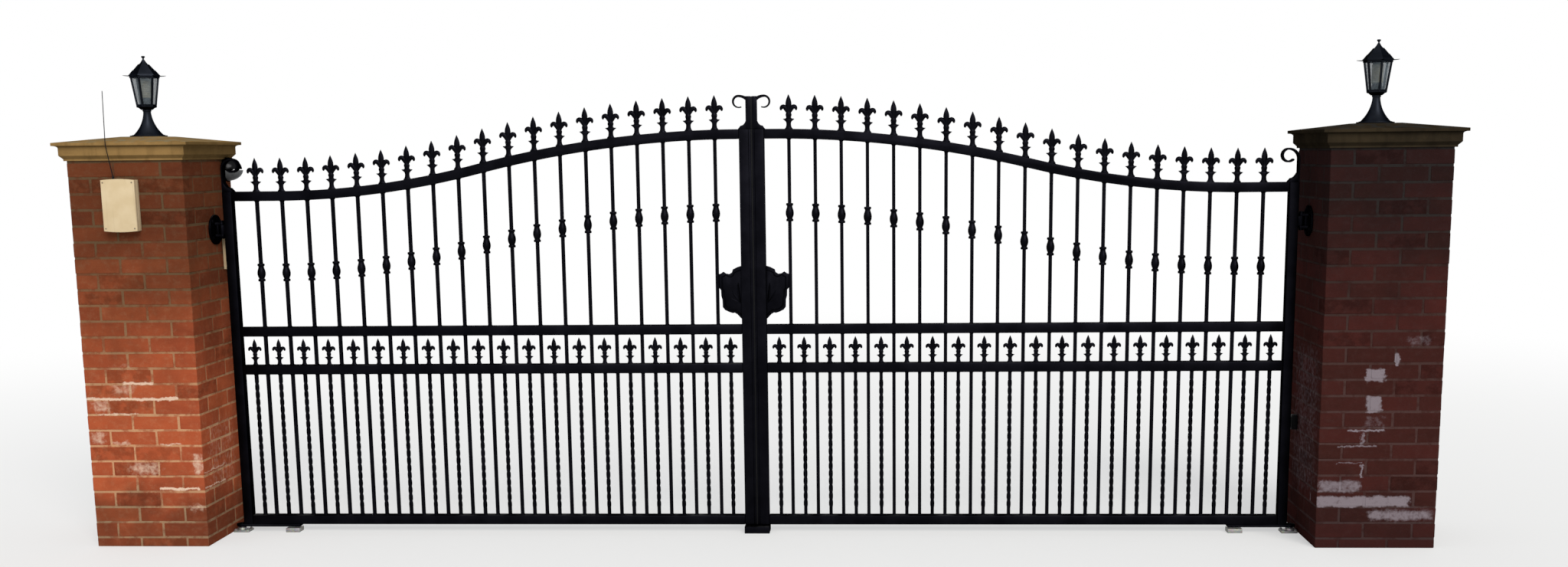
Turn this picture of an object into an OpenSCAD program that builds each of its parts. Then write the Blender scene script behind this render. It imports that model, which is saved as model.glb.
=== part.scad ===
// Pair of wrought iron driveway gates between brick piers, millimetres, +Z up.
// X runs across the drive, +Y points out to the road, and the drive's surface is z = 0.
// The origin is under the meeting of the two leaves, in their middle plane.

/* [Piers] */
// Clear width between the piers
opening_w = 5280; // [4000:20:6400]
// Side of a square pier, two and a half bricks
pier_side = 552; // [440:1:680]
// Height of the brickwork
pier_h = 1850; // [1750:5:2250]
// From the piers' inner fronts back to the middle plane of the leaves
set_back = 315; // [260:5:380]
// How far the cap stands out past the brickwork
cap_overhang = 45; // [20:1:70]
// Height of the cap's moulded edge
cap_edge_h = 84; // [60:1:120]
// Rise of the cap's weathered top from its edge to its flat
cap_rise = 28; // [10:1:60]

/* [Leaves] */
// Side of the square box section of stiles and rails
box = 46; // [30:1:50]
// Gap between a pier and the hanging stile
hinge_gap = 55; // [50:1:80]
// Gap between the two leaves
meeting_gap = 6; // [6:1:20]
// Gap under the bottom rails
ground_gap = 40; // [38:1:90]
// Top of the lower middle rail
lower_rail_z = 843; // [650:1:880]
// Top of the upper middle rail
upper_rail_z = 1032; // [1010:1:1180]
// Top of the top rail beside the piers
low_z = 1694; // [1600:1:1840]
// Top of the top rail where the leaves meet
high_z = 1967; // [1850:1:2400]
// Level length of the top rail beside the meeting stile
high_flat = 15; // [5:1:200]
// Level length of the top rail beside the hanging stile
low_flat = 217; // [110:1:300]
// Share of the curve that its upper arc takes
upper_arc = 0.56; // [0.4:0.01:0.6]
// Width of the closing strip on a meeting stile
strip_w = 11; // [8:0.5:30]
// How far the closing strip lies behind the stile's face
strip_recess = 5; // [2:1:12]

/* [Bars] */
// Side of a square bar
bar = 16; // [12:1:20]
// Plain bars in a leaf, with a twisted bar between and beside them
bars = 19; // [9:1:23]
// From a stile's face to the middle of the nearest plain bar
end_gap = 117.5; // [80:0.5:160]
// Height of a bar's collar
collar_h = 87; // [60:1:110]
// Radius of a collar's barrel
collar_r = 19; // [16:0.5:24]
// From the top of the top rail down to a collar's middle
collar_drop = 394; // [250:1:430]
// Height of a large finial
finial_h = 162; // [120:1:190]
// Size of a small finial next to a large one
small_finial = 0.8; // [0.6:0.01:0.86]
// Thickness of a finial
finial_t = 14; // [10:1:16]
// Length of a bar's twist for one whole turn
twist_pitch = 146; // [100:1:400]
// Plain length at each end of a twisted bar
plain_end = 38; // [10:1:80]

/* [Ornaments] */
// Height of the uprights over the meeting stiles
upright_h = 154; // [120:1:200]
// Width of one upright
upright_w = 24; // [16:1:30]
// Depth of the uprights and their scrolls
strap_d = 25; // [16:1:36]
// Thickness of the scrolled strap
strap_t = 9; // [5:1:12]
// Depth of a hanging scroll
hanging_d = 40; // [16:1:44]
// Outside radius of a small scroll
scroll_r = 31; // [20:1:40]
// Outside radius at which a hanging scroll leaves its stem
stem_r = 52; // [44:1:70]
// Height of a hanging scroll's stem over the top rail
stem_h = 103; // [70:1:140]
// Height of the crest
crest_h = 264; // [200:2:300]
// Thickness of the crest plate
crest_t = 8; // [5:1:12]

/* [Hinges] */
// From a pier's inner face to the hinge axis
axis_off = 37; // [35:1:45]
// Radius of the round hinge plate
plate_r = 73; // [50:1:90]
// Thickness of the round hinge plate
plate_t = 8; // [6:1:14]
// Height of the top hinge
hinge_z = 1511; // [1200:1:1600]
// Radius of a hinge pin
pin_r = 8; // [6:0.5:10]
// Radial clearance of a pin in its eye
pin_play = 0.05; // [0.02:0.01:0.1]
// Height of the eye on the leaf
eye_h = 45; // [30:1:70]
// Radius of the eye on the leaf
eye_r = 13; // [12:0.5:14]
// Thickness of a hinge lug
lug_t = 10; // [6:1:16]
// Thickness of the drive shoe under a leaf
shoe_t = 12; // [10:1:18]
// Clearance between a swinging leaf and what is fixed near it
swing_gap = 7; // [5:1:12]
// Length of the drive shoe from the hinge axis
shoe_l = 303; // [200:1:420]

/* [Lanterns] */
// Radius of the lantern's foot
foot_r = 85; // [70:1:110]
// Height of the flared base
base_h = 127; // [90:1:160]
// Radius of the neck
neck_r = 17; // [12:1:24]
// Radius over the corners at the bottom of the glass
glass_r1 = 45; // [36:1:60]
// Radius over the corners at the top of the glass
glass_r2 = 65; // [60:1:90]
// Height of the glass
glass_h = 130; // [110:1:180]
// Radius of the bulb
bulb_r = 26; // [18:1:28]
// Height of the bulb
bulb_h = 120; // [90:1:130]
// Radius over the tips of the roof's brim
brim_r = 97; // [88:1:130]
// Height of the roof over the brim
roof_h = 74; // [50:1:100]

/* [Fittings] */
// Width of the control box
control_w = 160; // [120:1:220]
// Height of the control box
control_h = 247; // [180:1:320]
// Depth of the control box
control_d = 52; // [45:1:90]
// Length of the whip aerial
aerial_l = 410; // [200:5:500]
// Width of the centre stop
stop_w = 123; // [90:1:180]
// Radius of the bulkhead light's hood
hood_r = 60; // [35:1:64]
// Height of the control box's underside
control_z = 1519; // [1300:1:1600]

/* [Hidden] */

$fn = 48;
eps = 0.01;
pier_x = opening_w / 2;
front_y = -set_back;
pier_mid = [pier_x + pier_side / 2, front_y + pier_side / 2];
axis_x = pier_x - axis_off;
hang_x = pier_x - hinge_gap - box;
meet_x = meeting_gap / 2 + strip_w;
first_x = meet_x + box;
bar_pitch = (hang_x - first_x - 2 * end_gap) / (bars - 1);
bottom_rail_z = ground_gap + box;
cap_w = pier_side + 2 * cap_overhang;
cap_top_z = pier_h + cap_edge_h + cap_rise;
// The top rail is two arcs that are tangent to each other and to its level ends
curve_start = first_x + high_flat;
curve_end = hang_x - low_flat;
curve_run = curve_end - curve_start;
curve_mid = curve_start + upper_arc * curve_run;
curve_angle = 2 * atan((high_z - low_z) / curve_run);
upper_r = (curve_mid - curve_start) / sin(curve_angle);
lower_r = (curve_end - curve_mid) / sin(curve_angle);
rail_steps = 38;
iron = [0.03, 0.03, 0.035];
brick = [0.55, 0.24, 0.17];
stone = [0.66, 0.55, 0.38];
cream = [0.86, 0.80, 0.66];
steel = [0.62, 0.62, 0.6];

// Height of the top rail's upper face at distance x from the middle of the drive
function rail_top(x) =
    x <= curve_start ? high_z
    : x <= curve_mid ? high_z - upper_r + sqrt(pow(upper_r, 2) - pow(x - curve_start, 2))
    : x <= curve_end ? low_z + lower_r - sqrt(pow(lower_r, 2) - pow(curve_end - x, 2))
    : low_z;
// Slope of the top rail at x, in degrees
function rail_slope(x) =
    x <= curve_start || x >= curve_end ? 0
    : x <= curve_mid ? asin((x - curve_start) / upper_r) : asin((curve_end - x) / lower_r);
function rail_bottom(x) = rail_top(x) - box / cos(rail_slope(x));
// The rail's outline has points at both stiles and evenly along its curve
function rail_x(i) =
    i == 0 ? first_x : i == rail_steps ? hang_x
    : curve_start + (curve_end - curve_start) * (i - 1) / (rail_steps - 2);
rail_upper = [for (i = [0:rail_steps]) [rail_x(i), rail_top(rail_x(i))]];
rail_under = [for (i = [0:rail_steps]) [rail_x(i), rail_bottom(rail_x(i))]];
function plain_x(i) = first_x + end_gap + bar_pitch * (i - 1);
// A twisted bar stands midway between two plain ones, and midway between the last one and the stile
function twisted_x(i) =
    i == 1 ? first_x + end_gap / 2 : i == bars + 1 ? hang_x - end_gap / 2 : plain_x(i) - bar_pitch / 2;

module left() { mirror([1, 0, 0]) children(); }
module both() {
    children();
    left() children();
}
// A shape drawn in x and z, given a thickness about the leaf's middle plane
module standing(t) { translate([0, t / 2, 0]) rotate([90, 0, 0]) linear_extrude(t) children(); }
module frame_bar(x, z, w, h) { translate([x, -box / 2, z]) cube([w, box, h]); }
// All that lies in a leaf below one face of its top rail
module below(face) { polygon(concat([[first_x, 0]], face, [[hang_x, 0]])); }

module pier() {
    color(brick) translate([pier_x, front_y, 0]) cube([pier_side, pier_side, pier_h]);
}

// From the brickwork outwards: a small step, a slope, a plain band, a cove and the top fascia
module cap_section() {
    p = pier_side / 2;
    o = cap_overhang;
    h = cap_edge_h;
    flat = foot_r + 8;
    edge = concat([[p + 0.18 * o, 0], [p + 0.18 * o, 0.1 * h], [p + 0.51 * o, 0.29 * h], [p + 0.51 * o, 0.7 * h]],
        [for (a = [15:15:90]) [p + (0.91 - 0.4 * cos(a)) * o, (0.7 + 0.13 * sin(a)) * h]],
        [[p + o, 0.83 * h], [p + o, h], [flat, h + cap_rise]]);
    for (s = [-1, 1]) scale([s, 1]) polygon(concat([[0, 0]], edge, [[0, h + cap_rise]]));
}

module cap() {
    color(stone) translate([pier_mid[0], pier_mid[1], pier_h]) intersection() {
        standing(cap_w) cap_section();
        rotate(90) standing(cap_w) cap_section();
    }
}

module at_lantern(z) { translate([pier_mid[0], pier_mid[1], cap_top_z + z]) children(); }
// The six-sided parts stand with one corner to the front
module six_sided(z) { at_lantern(z) rotate(30) children(); }

module lantern_base() {
    flange = 5;
    reach = foot_r - 14 - neck_r;
    hollow = (pow(reach, 2) + pow(base_h - flange, 2)) / (2 * reach);
    color(iron) at_lantern(0) {
        cylinder(r = foot_r, h = flange);
        translate([0, 0, flange - eps]) rotate_extrude() difference() {
            square([foot_r - 14, base_h - flange]);
            translate([neck_r + hollow, base_h - flange]) circle(hollow);
        }
    }
}

module lantern_glass() {
    color([0.8, 0.85, 0.85]) difference() {
        six_sided(base_h + 20) difference() {
            cylinder(r1 = glass_r1 - 5, r2 = glass_r2 - 5, h = glass_h, $fn = 6);
            translate([0, 0, -eps]) cylinder(r1 = glass_r1 - 8, r2 = glass_r2 - 8, h = glass_h + 2 * eps, $fn = 6);
        }
        six_sided(base_h) cage_posts();
    }
}

module lantern_bulb() {
    holder_h = 28;
    shoulder = 8;
    color([0.93, 0.92, 0.86]) at_lantern(base_h + 20) {
        cylinder(r = bulb_r - 4, h = holder_h + 2);
        translate([0, 0, holder_h]) cylinder(r = bulb_r, h = bulb_h - holder_h - shoulder);
        translate([0, 0, bulb_h - shoulder - eps]) cylinder(r1 = bulb_r, r2 = bulb_r - 9, h = shoulder);
    }
}

// The six posts at the corners of the glass, flared like it
module cage_posts() {
    post = 9;
    for (a = [0:60:300]) rotate(a) hull() {
        translate([glass_r1 - 4, 0, 17]) cylinder(d = post, h = 1, $fn = 6);
        translate([glass_r2 - 4, 0, 20 + glass_h]) cylinder(d = post, h = 1, $fn = 6);
    }
}

module lantern_cage() {
    color(iron) six_sided(base_h) {
        cylinder(r1 = neck_r + 10, r2 = glass_r1, h = 14, $fn = 6);
        translate([0, 0, 14]) cylinder(r = glass_r1 + 1, h = 6, $fn = 6);
        cage_posts();
        translate([0, 0, 20 + glass_h]) cylinder(r = glass_r2 + 3, h = 8, $fn = 6);
    }
}

module lantern_roof() {
    brim_t = 3;
    rim = glass_r2 + 10;
    // A hexagon whose corners run out to narrow tips: angle from a corner and radius
    corner = [[-6, 0.948 * rim], [-0.8, brim_r], [0.8, brim_r], [6, 0.948 * rim]];
    eaves = glass_r2 + 7;
    // Lower and upper radius and height of each tier, as shares of the eaves and of the roof's height
    tiers = [[1, 0.71, 0.35], [0.66, 0.28, 0.4], [0.24, 0.07, 0.25]];
    starts = [0, 0.35, 0.75];
    neck_h = 14;
    color(iron) six_sided(base_h + 28 + glass_h) {
        linear_extrude(brim_t)
            polygon([for (a = [0:60:300], p = corner) p[1] * [cos(a + p[0]), sin(a + p[0])]]);
        translate([0, 0, brim_t]) for (i = [0:2]) translate([0, 0, starts[i] * roof_h])
            cylinder(r1 = tiers[i][0] * eaves, r2 = tiers[i][1] * eaves, h = tiers[i][2] * roof_h, $fn = 6);
        translate([0, 0, brim_t + roof_h]) cylinder(r = 3.5, h = neck_h);
        translate([0, 0, brim_t + roof_h + neck_h]) intersection() {
            sphere(9);
            cylinder(r = 10, h = 10, center = true);
        }
    }
}

module control_box() {
    lid = 16;
    bow = 5;
    bow_r = (pow(control_w / 2, 2) + pow(bow, 2)) / (2 * bow);
    color(cream) translate([-pier_mid[0] - 15, front_y, control_z]) {
        translate([-control_w / 2 + 3, -control_d + lid - eps, 5])
            cube([control_w - 6, control_d - lid + eps, control_h - 10]);
        translate([0, -control_d + lid, 0]) rotate([90, 0, 0]) linear_extrude(lid) intersection() {
            translate([-control_w / 2, 0]) square([control_w, control_h]);
            translate([0, bow_r]) circle(bow_r, $fn = 200);
            translate([0, control_h - bow_r]) circle(bow_r, $fn = 200);
        }
    }
}

// The whip leans forward past the cap and stands upright above that
module aerial() {
    lean = [9.6, -4.7];
    lower = 0.4 * aerial_l;
    r = 2;
    color(iron) translate([-pier_mid[0] - 42, front_y - control_d + 23, control_z + control_h - 5]) {
        cylinder(r = 6, h = 14);
        translate([0, 0, 8]) rotate([lean[0], lean[1], 0]) {
            cylinder(r = r, h = lower - 8);
            translate([0, 0, lower - 8]) sphere(r, $fn = 24);
            translate([0, 0, lower - 8]) rotate([-lean[0], 0, 0]) rotate([0, -lean[1] + 1.2, 0])
                cylinder(r = r, h = aerial_l - lower);
        }
    }
}

// A round back plate on the pier's face and a domed hood
module bulkhead_light() {
    rim = 14;
    color([0.12, 0.12, 0.13]) translate([-pier_x, 165, pier_h - hood_r + 10]) rotate([0, 90, 0]) {
        cylinder(r = hood_r - 12, h = rim);
        intersection() {
            translate([0, 0, 24]) sphere(hood_r);
            translate([0, 0, rim - eps]) cylinder(r = hood_r, h = 2 * hood_r);
        }
    }
}

module junction_box() {
    color(cream) translate([-pier_x, 75, 1312]) {
        cube([20, 62, 167]);
        translate([20 - eps, 4, 4]) cube([4, 54, 159]);
    }
}

module photocell() {
    color(iron) translate([pier_x - 28, 67, 495]) {
        cube([28, 38, 71]);
        translate([-3, 6, 8]) cube([4, 26, 55]);
    }
}

module centre_stop() {
    lip_h = 66;
    color(iron) difference() {
        translate([-stop_w / 2, -45, 0]) union() {
            cube([stop_w, 91, ground_gap - swing_gap]);
            translate([0, 45 + box / 2 + swing_gap, 0]) cube([stop_w, 20, lip_h]);
        }
        for (s = [-1, 1]) translate([s * stop_w * 0.3, -20, -1]) cylinder(r = 6.5, h = ground_gap);
    }
}

module top_hinge() {
    lug_l = axis_off - plate_t;
    color(iron) {
        difference() {
            translate([pier_x - plate_t, 0, hinge_z]) rotate([0, 90, 0]) cylinder(r = plate_r, h = plate_t, $fn = 64);
            for (a = [45:90:315]) translate([pier_x, plate_r * 0.75 * cos(a), hinge_z + plate_r * 0.75 * sin(a)])
                rotate([0, -90, 0]) translate([0, 0, -1]) cylinder(r = 5.5, h = plate_t + 2);
        }
        for (s = [-1, 1]) translate([axis_x, 0, hinge_z + s * (eye_h / 2 + 1 + lug_t / 2)]) {
            translate([0, 0, -lug_t / 2]) cylinder(r = eye_r, h = lug_t);
            translate([0, -eye_r, -lug_t / 2]) cube([lug_l + eps, 2 * eye_r, lug_t]);
        }
        translate([axis_x, 0, hinge_z - eye_h / 2 - lug_t - 12]) cylinder(r = pin_r, h = eye_h + 2 * lug_t + 24);
        for (s = [-1, 1]) translate([axis_x, 0, hinge_z + s * (eye_h / 2 + lug_t + 6) - 5]) cylinder(r = 12, h = 10, $fn = 6);
    }
}

module hinge_eye() {
    color(iron) difference() {
        union() {
            translate([axis_x, 0, hinge_z - eye_h / 2]) cylinder(r = eye_r, h = eye_h);
            translate([hang_x + box, -eye_r + 2, hinge_z - eye_h / 2]) cube([axis_x - hang_x - box, 2 * eye_r - 4, eye_h]);
        }
        translate([axis_x, 0, 0]) cylinder(r = pin_r + pin_play, h = low_z);
    }
}

module drive_shoe() {
    z = ground_gap - shoe_t;
    color(iron) difference() {
        union() {
            translate([axis_x - shoe_l, -box / 2, z]) cube([shoe_l, box, shoe_t]);
            translate([axis_x, 0, z]) cylinder(r = 26, h = shoe_t);
        }
        translate([axis_x, 0, z - 1]) cylinder(r = pin_r + pin_play, h = shoe_t + 2);
    }
}

module bottom_pivot() {
    plate = 10;
    top = ground_gap - shoe_t - swing_gap;
    color(steel) {
        translate([axis_x - 45, -32, 0]) cube([78, 64, plate]);
        translate([axis_x, 0, plate - eps]) cylinder(r = 20, h = top - plate);
        translate([axis_x, 0, plate]) cylinder(r = pin_r, h = ground_gap - plate - 3);
        translate([axis_x - shoe_l, -30, 0]) cube([70, 60, top]);
    }
}

module hanging_stile() { color(iron) frame_bar(hang_x, ground_gap, box, low_z - ground_gap); }

module meeting_stile() {
    color(iron) {
        frame_bar(meet_x, ground_gap, box, high_z - ground_gap);
        translate([meeting_gap / 2, -box / 2 + strip_recess, ground_gap])
            cube([strip_w + eps, box - 2 * strip_recess, high_z - ground_gap]);
    }
}

module top_rail() {
    color(iron) standing(box) polygon(concat(rail_upper, [for (i = [0:rail_steps]) rail_under[rail_steps - i]]));
}

module rail(z) { color(iron) frame_bar(first_x, z - box, hang_x - first_x, box); }

module middle_rails() {
    rail(upper_rail_z);
    rail(lower_rail_z);
}

module collar() {
    ring = collar_h * 0.13;
    rotate_extrude() {
        translate([0, -collar_h / 2]) square([collar_r - 3, ring]);
        translate([0, collar_h / 2 - ring]) square([collar_r - 3, ring]);
        translate([0, -collar_h / 2 + ring - eps]) square([collar_r - 6, collar_h - 2 * ring + 2 * eps]);
        intersection() {
            translate([-2 * collar_r, 0]) circle(3 * collar_r);
            translate([0, -collar_h * 0.3]) square([collar_r + 1, collar_h * 0.6]);
        }
    }
}

// Each bar runs in three lengths, from rail to rail
module plain_bars() {
    color(iron) {
        standing(bar) intersection() {
            for (i = [1:bars]) translate([plain_x(i) - bar / 2, upper_rail_z]) square([bar, high_z]);
            below(rail_under);
        }
        for (i = [1:bars]) translate([plain_x(i) - bar / 2, -bar / 2, 0]) {
            translate([0, 0, lower_rail_z]) cube([bar, bar, upper_rail_z - box - lower_rail_z]);
            translate([0, 0, bottom_rail_z]) cube([bar, bar, lower_rail_z - box - bottom_rail_z]);
        }
        for (i = [1:bars]) translate([plain_x(i), 0, rail_top(plain_x(i)) - collar_drop]) collar();
    }
}

module twisted_bars() {
    span = lower_rail_z - box - bottom_rail_z;
    // Whole eighths of a turn, so that both plain ends line up with the frame
    eighths = 2 * round(4 * (span - 2 * plain_end) / twist_pitch);
    color(iron) for (i = [1:bars + 1]) translate([twisted_x(i), 0, bottom_rail_z]) {
        translate([-bar / 2, -bar / 2, 0]) cube([bar, bar, plain_end]);
        translate([0, 0, plain_end]) linear_extrude(span - 2 * plain_end, twist = -45 * eighths, slices = eighths, segments = 4)
            square(bar, center = true);
        translate([-bar / 2, -bar / 2, span - plain_end]) cube([bar, bar, plain_end]);
    }
}

// The flower of a finial with its foot on z = 0, and the foot carried on below it as far as a slope needs
module fleur(below_foot = 0) {
    scale(finial_h / 162) {
        translate([-19, -below_foot]) square([38, 1 + below_foot]);
        for (s = [-1, 1]) scale([s, 1]) {
            polygon([[0, 1], [19, 1], [14.5, 6], [10.5, 14], [10, 20], [11, 26], [18, 36.5], [28, 46], [25, 48.5],
                [17, 47.5], [11, 49], [10, 57], [14, 65], [10.3, 73], [10.3, 78], [14, 87], [17, 96], [12.3, 106],
                [14, 117], [13.6, 125], [10.8, 136], [6.2, 147.5], [3, 155], [0, 162]]);
            difference() {
                translate([27, 97]) circle(15.2);
                translate([23, 84.3]) circle(7.3);
                translate([0, 60]) square([23, 24.3]);
            }
            translate([35.2, 88.3]) circle(4.6);
        }
    }
}

module finials() {
    color(iron) standing(finial_t) difference() {
        for (i = [1:bars]) translate([plain_x(i), rail_top(plain_x(i))]) fleur(6);
        below(rail_upper);
    }
}

module small_finials() {
    color(iron) standing(finial_t * small_finial)
        for (i = [1:bars + 1]) translate([twisted_x(i), lower_rail_z]) scale(small_finial) fleur();
}

// A strap bent to an arc in the leaf's plane, from one angle to another about a centre
module strap_arc(x, z, r, from, to, d) {
    translate([x, d / 2, z]) rotate([90, 0, 0]) rotate(from)
        rotate_extrude(angle = to - from) translate([r - strap_t, 0]) square([strap_t, d]);
}

module meeting_scroll() {
    x = meeting_gap / 2;
    side = x + upright_w;
    lead = scroll_r + 4;
    top = high_z + upright_h + 7;
    color(iron) {
        translate([x, -strap_d / 2, high_z]) cube([upright_w, strap_d, upright_h]);
        strap_arc(side + lead - 2, top - lead, lead, 90, 205, strap_d);
        strap_arc(side + lead - 2, top - scroll_r, scroll_r, -120, 90, strap_d);
        standing(strap_d) translate([side - eps, high_z])
            polygon([[0, 0], [0, 36], [4, 36], [6, 31], [29, 8], [34, 6], [38, 5], [38, 0]]);
    }
}

module hanging_scroll() {
    x = hang_x + box;
    top = low_z + stem_h;
    curl = scroll_r + 3;
    color(iron) {
        translate([x - strap_t, -hanging_d / 2, low_z]) cube([strap_t, hanging_d, stem_h]);
        strap_arc(x - stem_r, top, stem_r, 0, 90, hanging_d);
        strap_arc(x - stem_r, top + stem_r - curl, curl, 90, 320, hanging_d);
        standing(hanging_d) translate([x - strap_t + eps, low_z]) scale([-1, 1])
            polygon([[0, 0], [0, 42], [5, 42], [8, 36], [35, 9], [40, 6], [45, 5], [45, 0]]);
    }
}

// Half of a scrolled shield, drawn outwards from the stile at its middle height
module crest_outline(w, h) {
    polygon([[0, h * 0.49], [w * 0.19, h * 0.465], [w * 0.38, h * 0.425], [w * 0.42, h * 0.37], [w * 0.54, h * 0.34],
        [w * 0.68, h * 0.35], [w * 0.8, h * 0.385], [w * 0.91, h * 0.35], [w, h * 0.34], [w, h * 0.085],
        [w * 0.92, h * 0.05], [w * 0.91, -h * 0.06], [w * 0.86, -h * 0.13], [w * 0.85, -h * 0.265],
        [w * 0.76, -h * 0.315], [w * 0.57, -h * 0.355], [w * 0.42, -h * 0.375], [w * 0.32, -h * 0.37],
        [w * 0.2, -h * 0.4], [w * 0.07, -h * 0.46], [0, -h * 0.49]]);
}

// The plate fills the space between the stile and the first bar
module crest() {
    w = plain_x(1) - bar / 2 - first_x;
    mid = upper_rail_z + 23 + crest_h / 2;
    rib = 3;
    color(iron) {
        translate([first_x, 0, mid]) standing(crest_t) crest_outline(w, crest_h);
        translate([first_x, -(crest_t + rib) / 2 + eps, mid]) standing(rib) difference() {
            crest_outline(w * 0.86, crest_h * 0.84);
            crest_outline(w * 0.74, crest_h * 0.72);
        }
    }
}

left() pier();  // left_pier
pier();  // right_pier
both() cap();  // pier_caps
both() lantern_base();  // lantern_bases
both() lantern_cage();  // lantern_cages
both() lantern_glass();
both() lantern_bulb();  // lantern_bulbs
both() lantern_roof();  // lantern_roofs
control_box();
aerial();
bulkhead_light();
junction_box();
photocell();
centre_stop();
both() top_hinge();  // hinge_brackets
both() bottom_pivot();  // bottom_pivots
left() hanging_stile();  // left_hanging_stile
left() meeting_stile();  // left_meeting_stile
left() top_rail();  // left_top_rail
left() middle_rails();  // left_middle_rails
left() rail(bottom_rail_z);  // left_bottom_rail
left() plain_bars();  // left_bars
left() twisted_bars();  // left_twisted_bars
left() finials();  // left_finials
left() small_finials();  // left_small_finials
left() meeting_scroll();  // left_meeting_scroll
left() hanging_scroll();  // left_hanging_scroll
left() crest();  // left_crest
left() hinge_eye();  // left_hinge_eye
left() drive_shoe();  // left_drive_shoe
hanging_stile();  // right_hanging_stile
meeting_stile();  // right_meeting_stile
top_rail();  // right_top_rail
middle_rails();  // right_middle_rails
rail(bottom_rail_z);  // right_bottom_rail
plain_bars();  // right_bars
twisted_bars();  // right_twisted_bars
finials();  // right_finials
small_finials();  // right_small_finials
meeting_scroll();  // right_meeting_scroll
hanging_scroll();  // right_hanging_scroll
crest();  // right_crest
hinge_eye();  // right_hinge_eye
drive_shoe();  // right_drive_shoe
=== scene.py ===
"""Looks of a pair of wrought iron driveway gates between two brick piers.

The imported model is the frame. Each class below finishes one sub-assembly: it builds its pieces with bmesh
operators, gives them their finish and lets them ride on the body that carries them. The model's own frame has
X across the drive, Y from the viewer's side through the gate to the far side, and Z up. Sizes are metres, or
millimetres where a docstring says so.
"""

from __future__ import annotations

import logging
import math
import random
from dataclasses import dataclass
from enum import Enum
from functools import cached_property
from typing import Mapping, Sequence, Union

import bmesh
import bpy
from mathutils import Matrix, Vector

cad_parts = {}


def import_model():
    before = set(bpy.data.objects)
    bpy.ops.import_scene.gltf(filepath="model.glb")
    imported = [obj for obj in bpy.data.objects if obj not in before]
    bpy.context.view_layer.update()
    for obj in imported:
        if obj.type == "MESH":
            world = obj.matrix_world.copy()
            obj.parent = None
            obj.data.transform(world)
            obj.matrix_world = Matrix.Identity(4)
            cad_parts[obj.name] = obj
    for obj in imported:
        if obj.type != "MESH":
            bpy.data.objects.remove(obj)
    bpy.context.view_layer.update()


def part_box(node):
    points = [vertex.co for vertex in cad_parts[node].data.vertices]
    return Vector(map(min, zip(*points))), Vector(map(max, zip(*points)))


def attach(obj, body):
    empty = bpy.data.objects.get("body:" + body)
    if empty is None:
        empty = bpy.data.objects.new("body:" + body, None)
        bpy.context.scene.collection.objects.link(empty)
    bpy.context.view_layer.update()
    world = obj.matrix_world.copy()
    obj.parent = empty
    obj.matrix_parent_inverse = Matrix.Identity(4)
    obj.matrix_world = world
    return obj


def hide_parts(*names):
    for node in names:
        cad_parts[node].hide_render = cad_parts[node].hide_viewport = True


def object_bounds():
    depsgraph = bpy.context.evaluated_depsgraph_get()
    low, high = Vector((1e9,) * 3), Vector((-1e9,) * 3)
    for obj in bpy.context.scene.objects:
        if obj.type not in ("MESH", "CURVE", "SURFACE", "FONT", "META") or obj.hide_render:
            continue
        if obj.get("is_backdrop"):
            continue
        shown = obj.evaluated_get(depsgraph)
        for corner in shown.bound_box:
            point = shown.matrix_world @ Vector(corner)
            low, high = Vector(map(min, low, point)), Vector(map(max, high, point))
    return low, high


LOG = logging.getLogger("gate")
Operand = Union["Value", float, Sequence[float]]
Colour = tuple[float, float, float]
Point = tuple[float, float]
Mesh = bmesh.types.BMesh
Material = bpy.types.Material
PICTURE = (2048, 740)
PIER_EDGE = 2.64
PIER_FRONT = -0.315
DUST = (0.1, 0.1, 0.1)
RUST = (0.06, 0.022, 0.01)
LICHEN = (0.7, 1.1, 2.0)
ZINC_DIRT = (0.16, 0.13, 0.1)


class Side(Enum):
    """One half of the drive, with the sign of its X."""

    LEFT = -1
    RIGHT = 1

    @property
    def word(self) -> str:
        """The side's name as the nodes' names begin."""
        return self.name.lower()

    @property
    def leaf(self) -> str:
        """The body that is this side's leaf."""
        return self.word + "_leaf"

    @property
    def mirror(self) -> Matrix:
        """From the right half of the drive to this one."""
        return Matrix.Diagonal((self.value, 1, 1, 1))


SEEDS = {Side.LEFT: 7, Side.RIGHT: 19}


class Face(Enum):
    """A face of a pier, named for what it looks at."""

    VIEWER = "viewer"
    DRIVE = "drive"


def shade(colour: Colour, factor: float, lift: float = 0.0) -> Colour:
    """A colour made darker or lighter, with every part at most 1."""
    return tuple(min(1.0, factor * c + lift) for c in colour)


# Shader expressions


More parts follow.
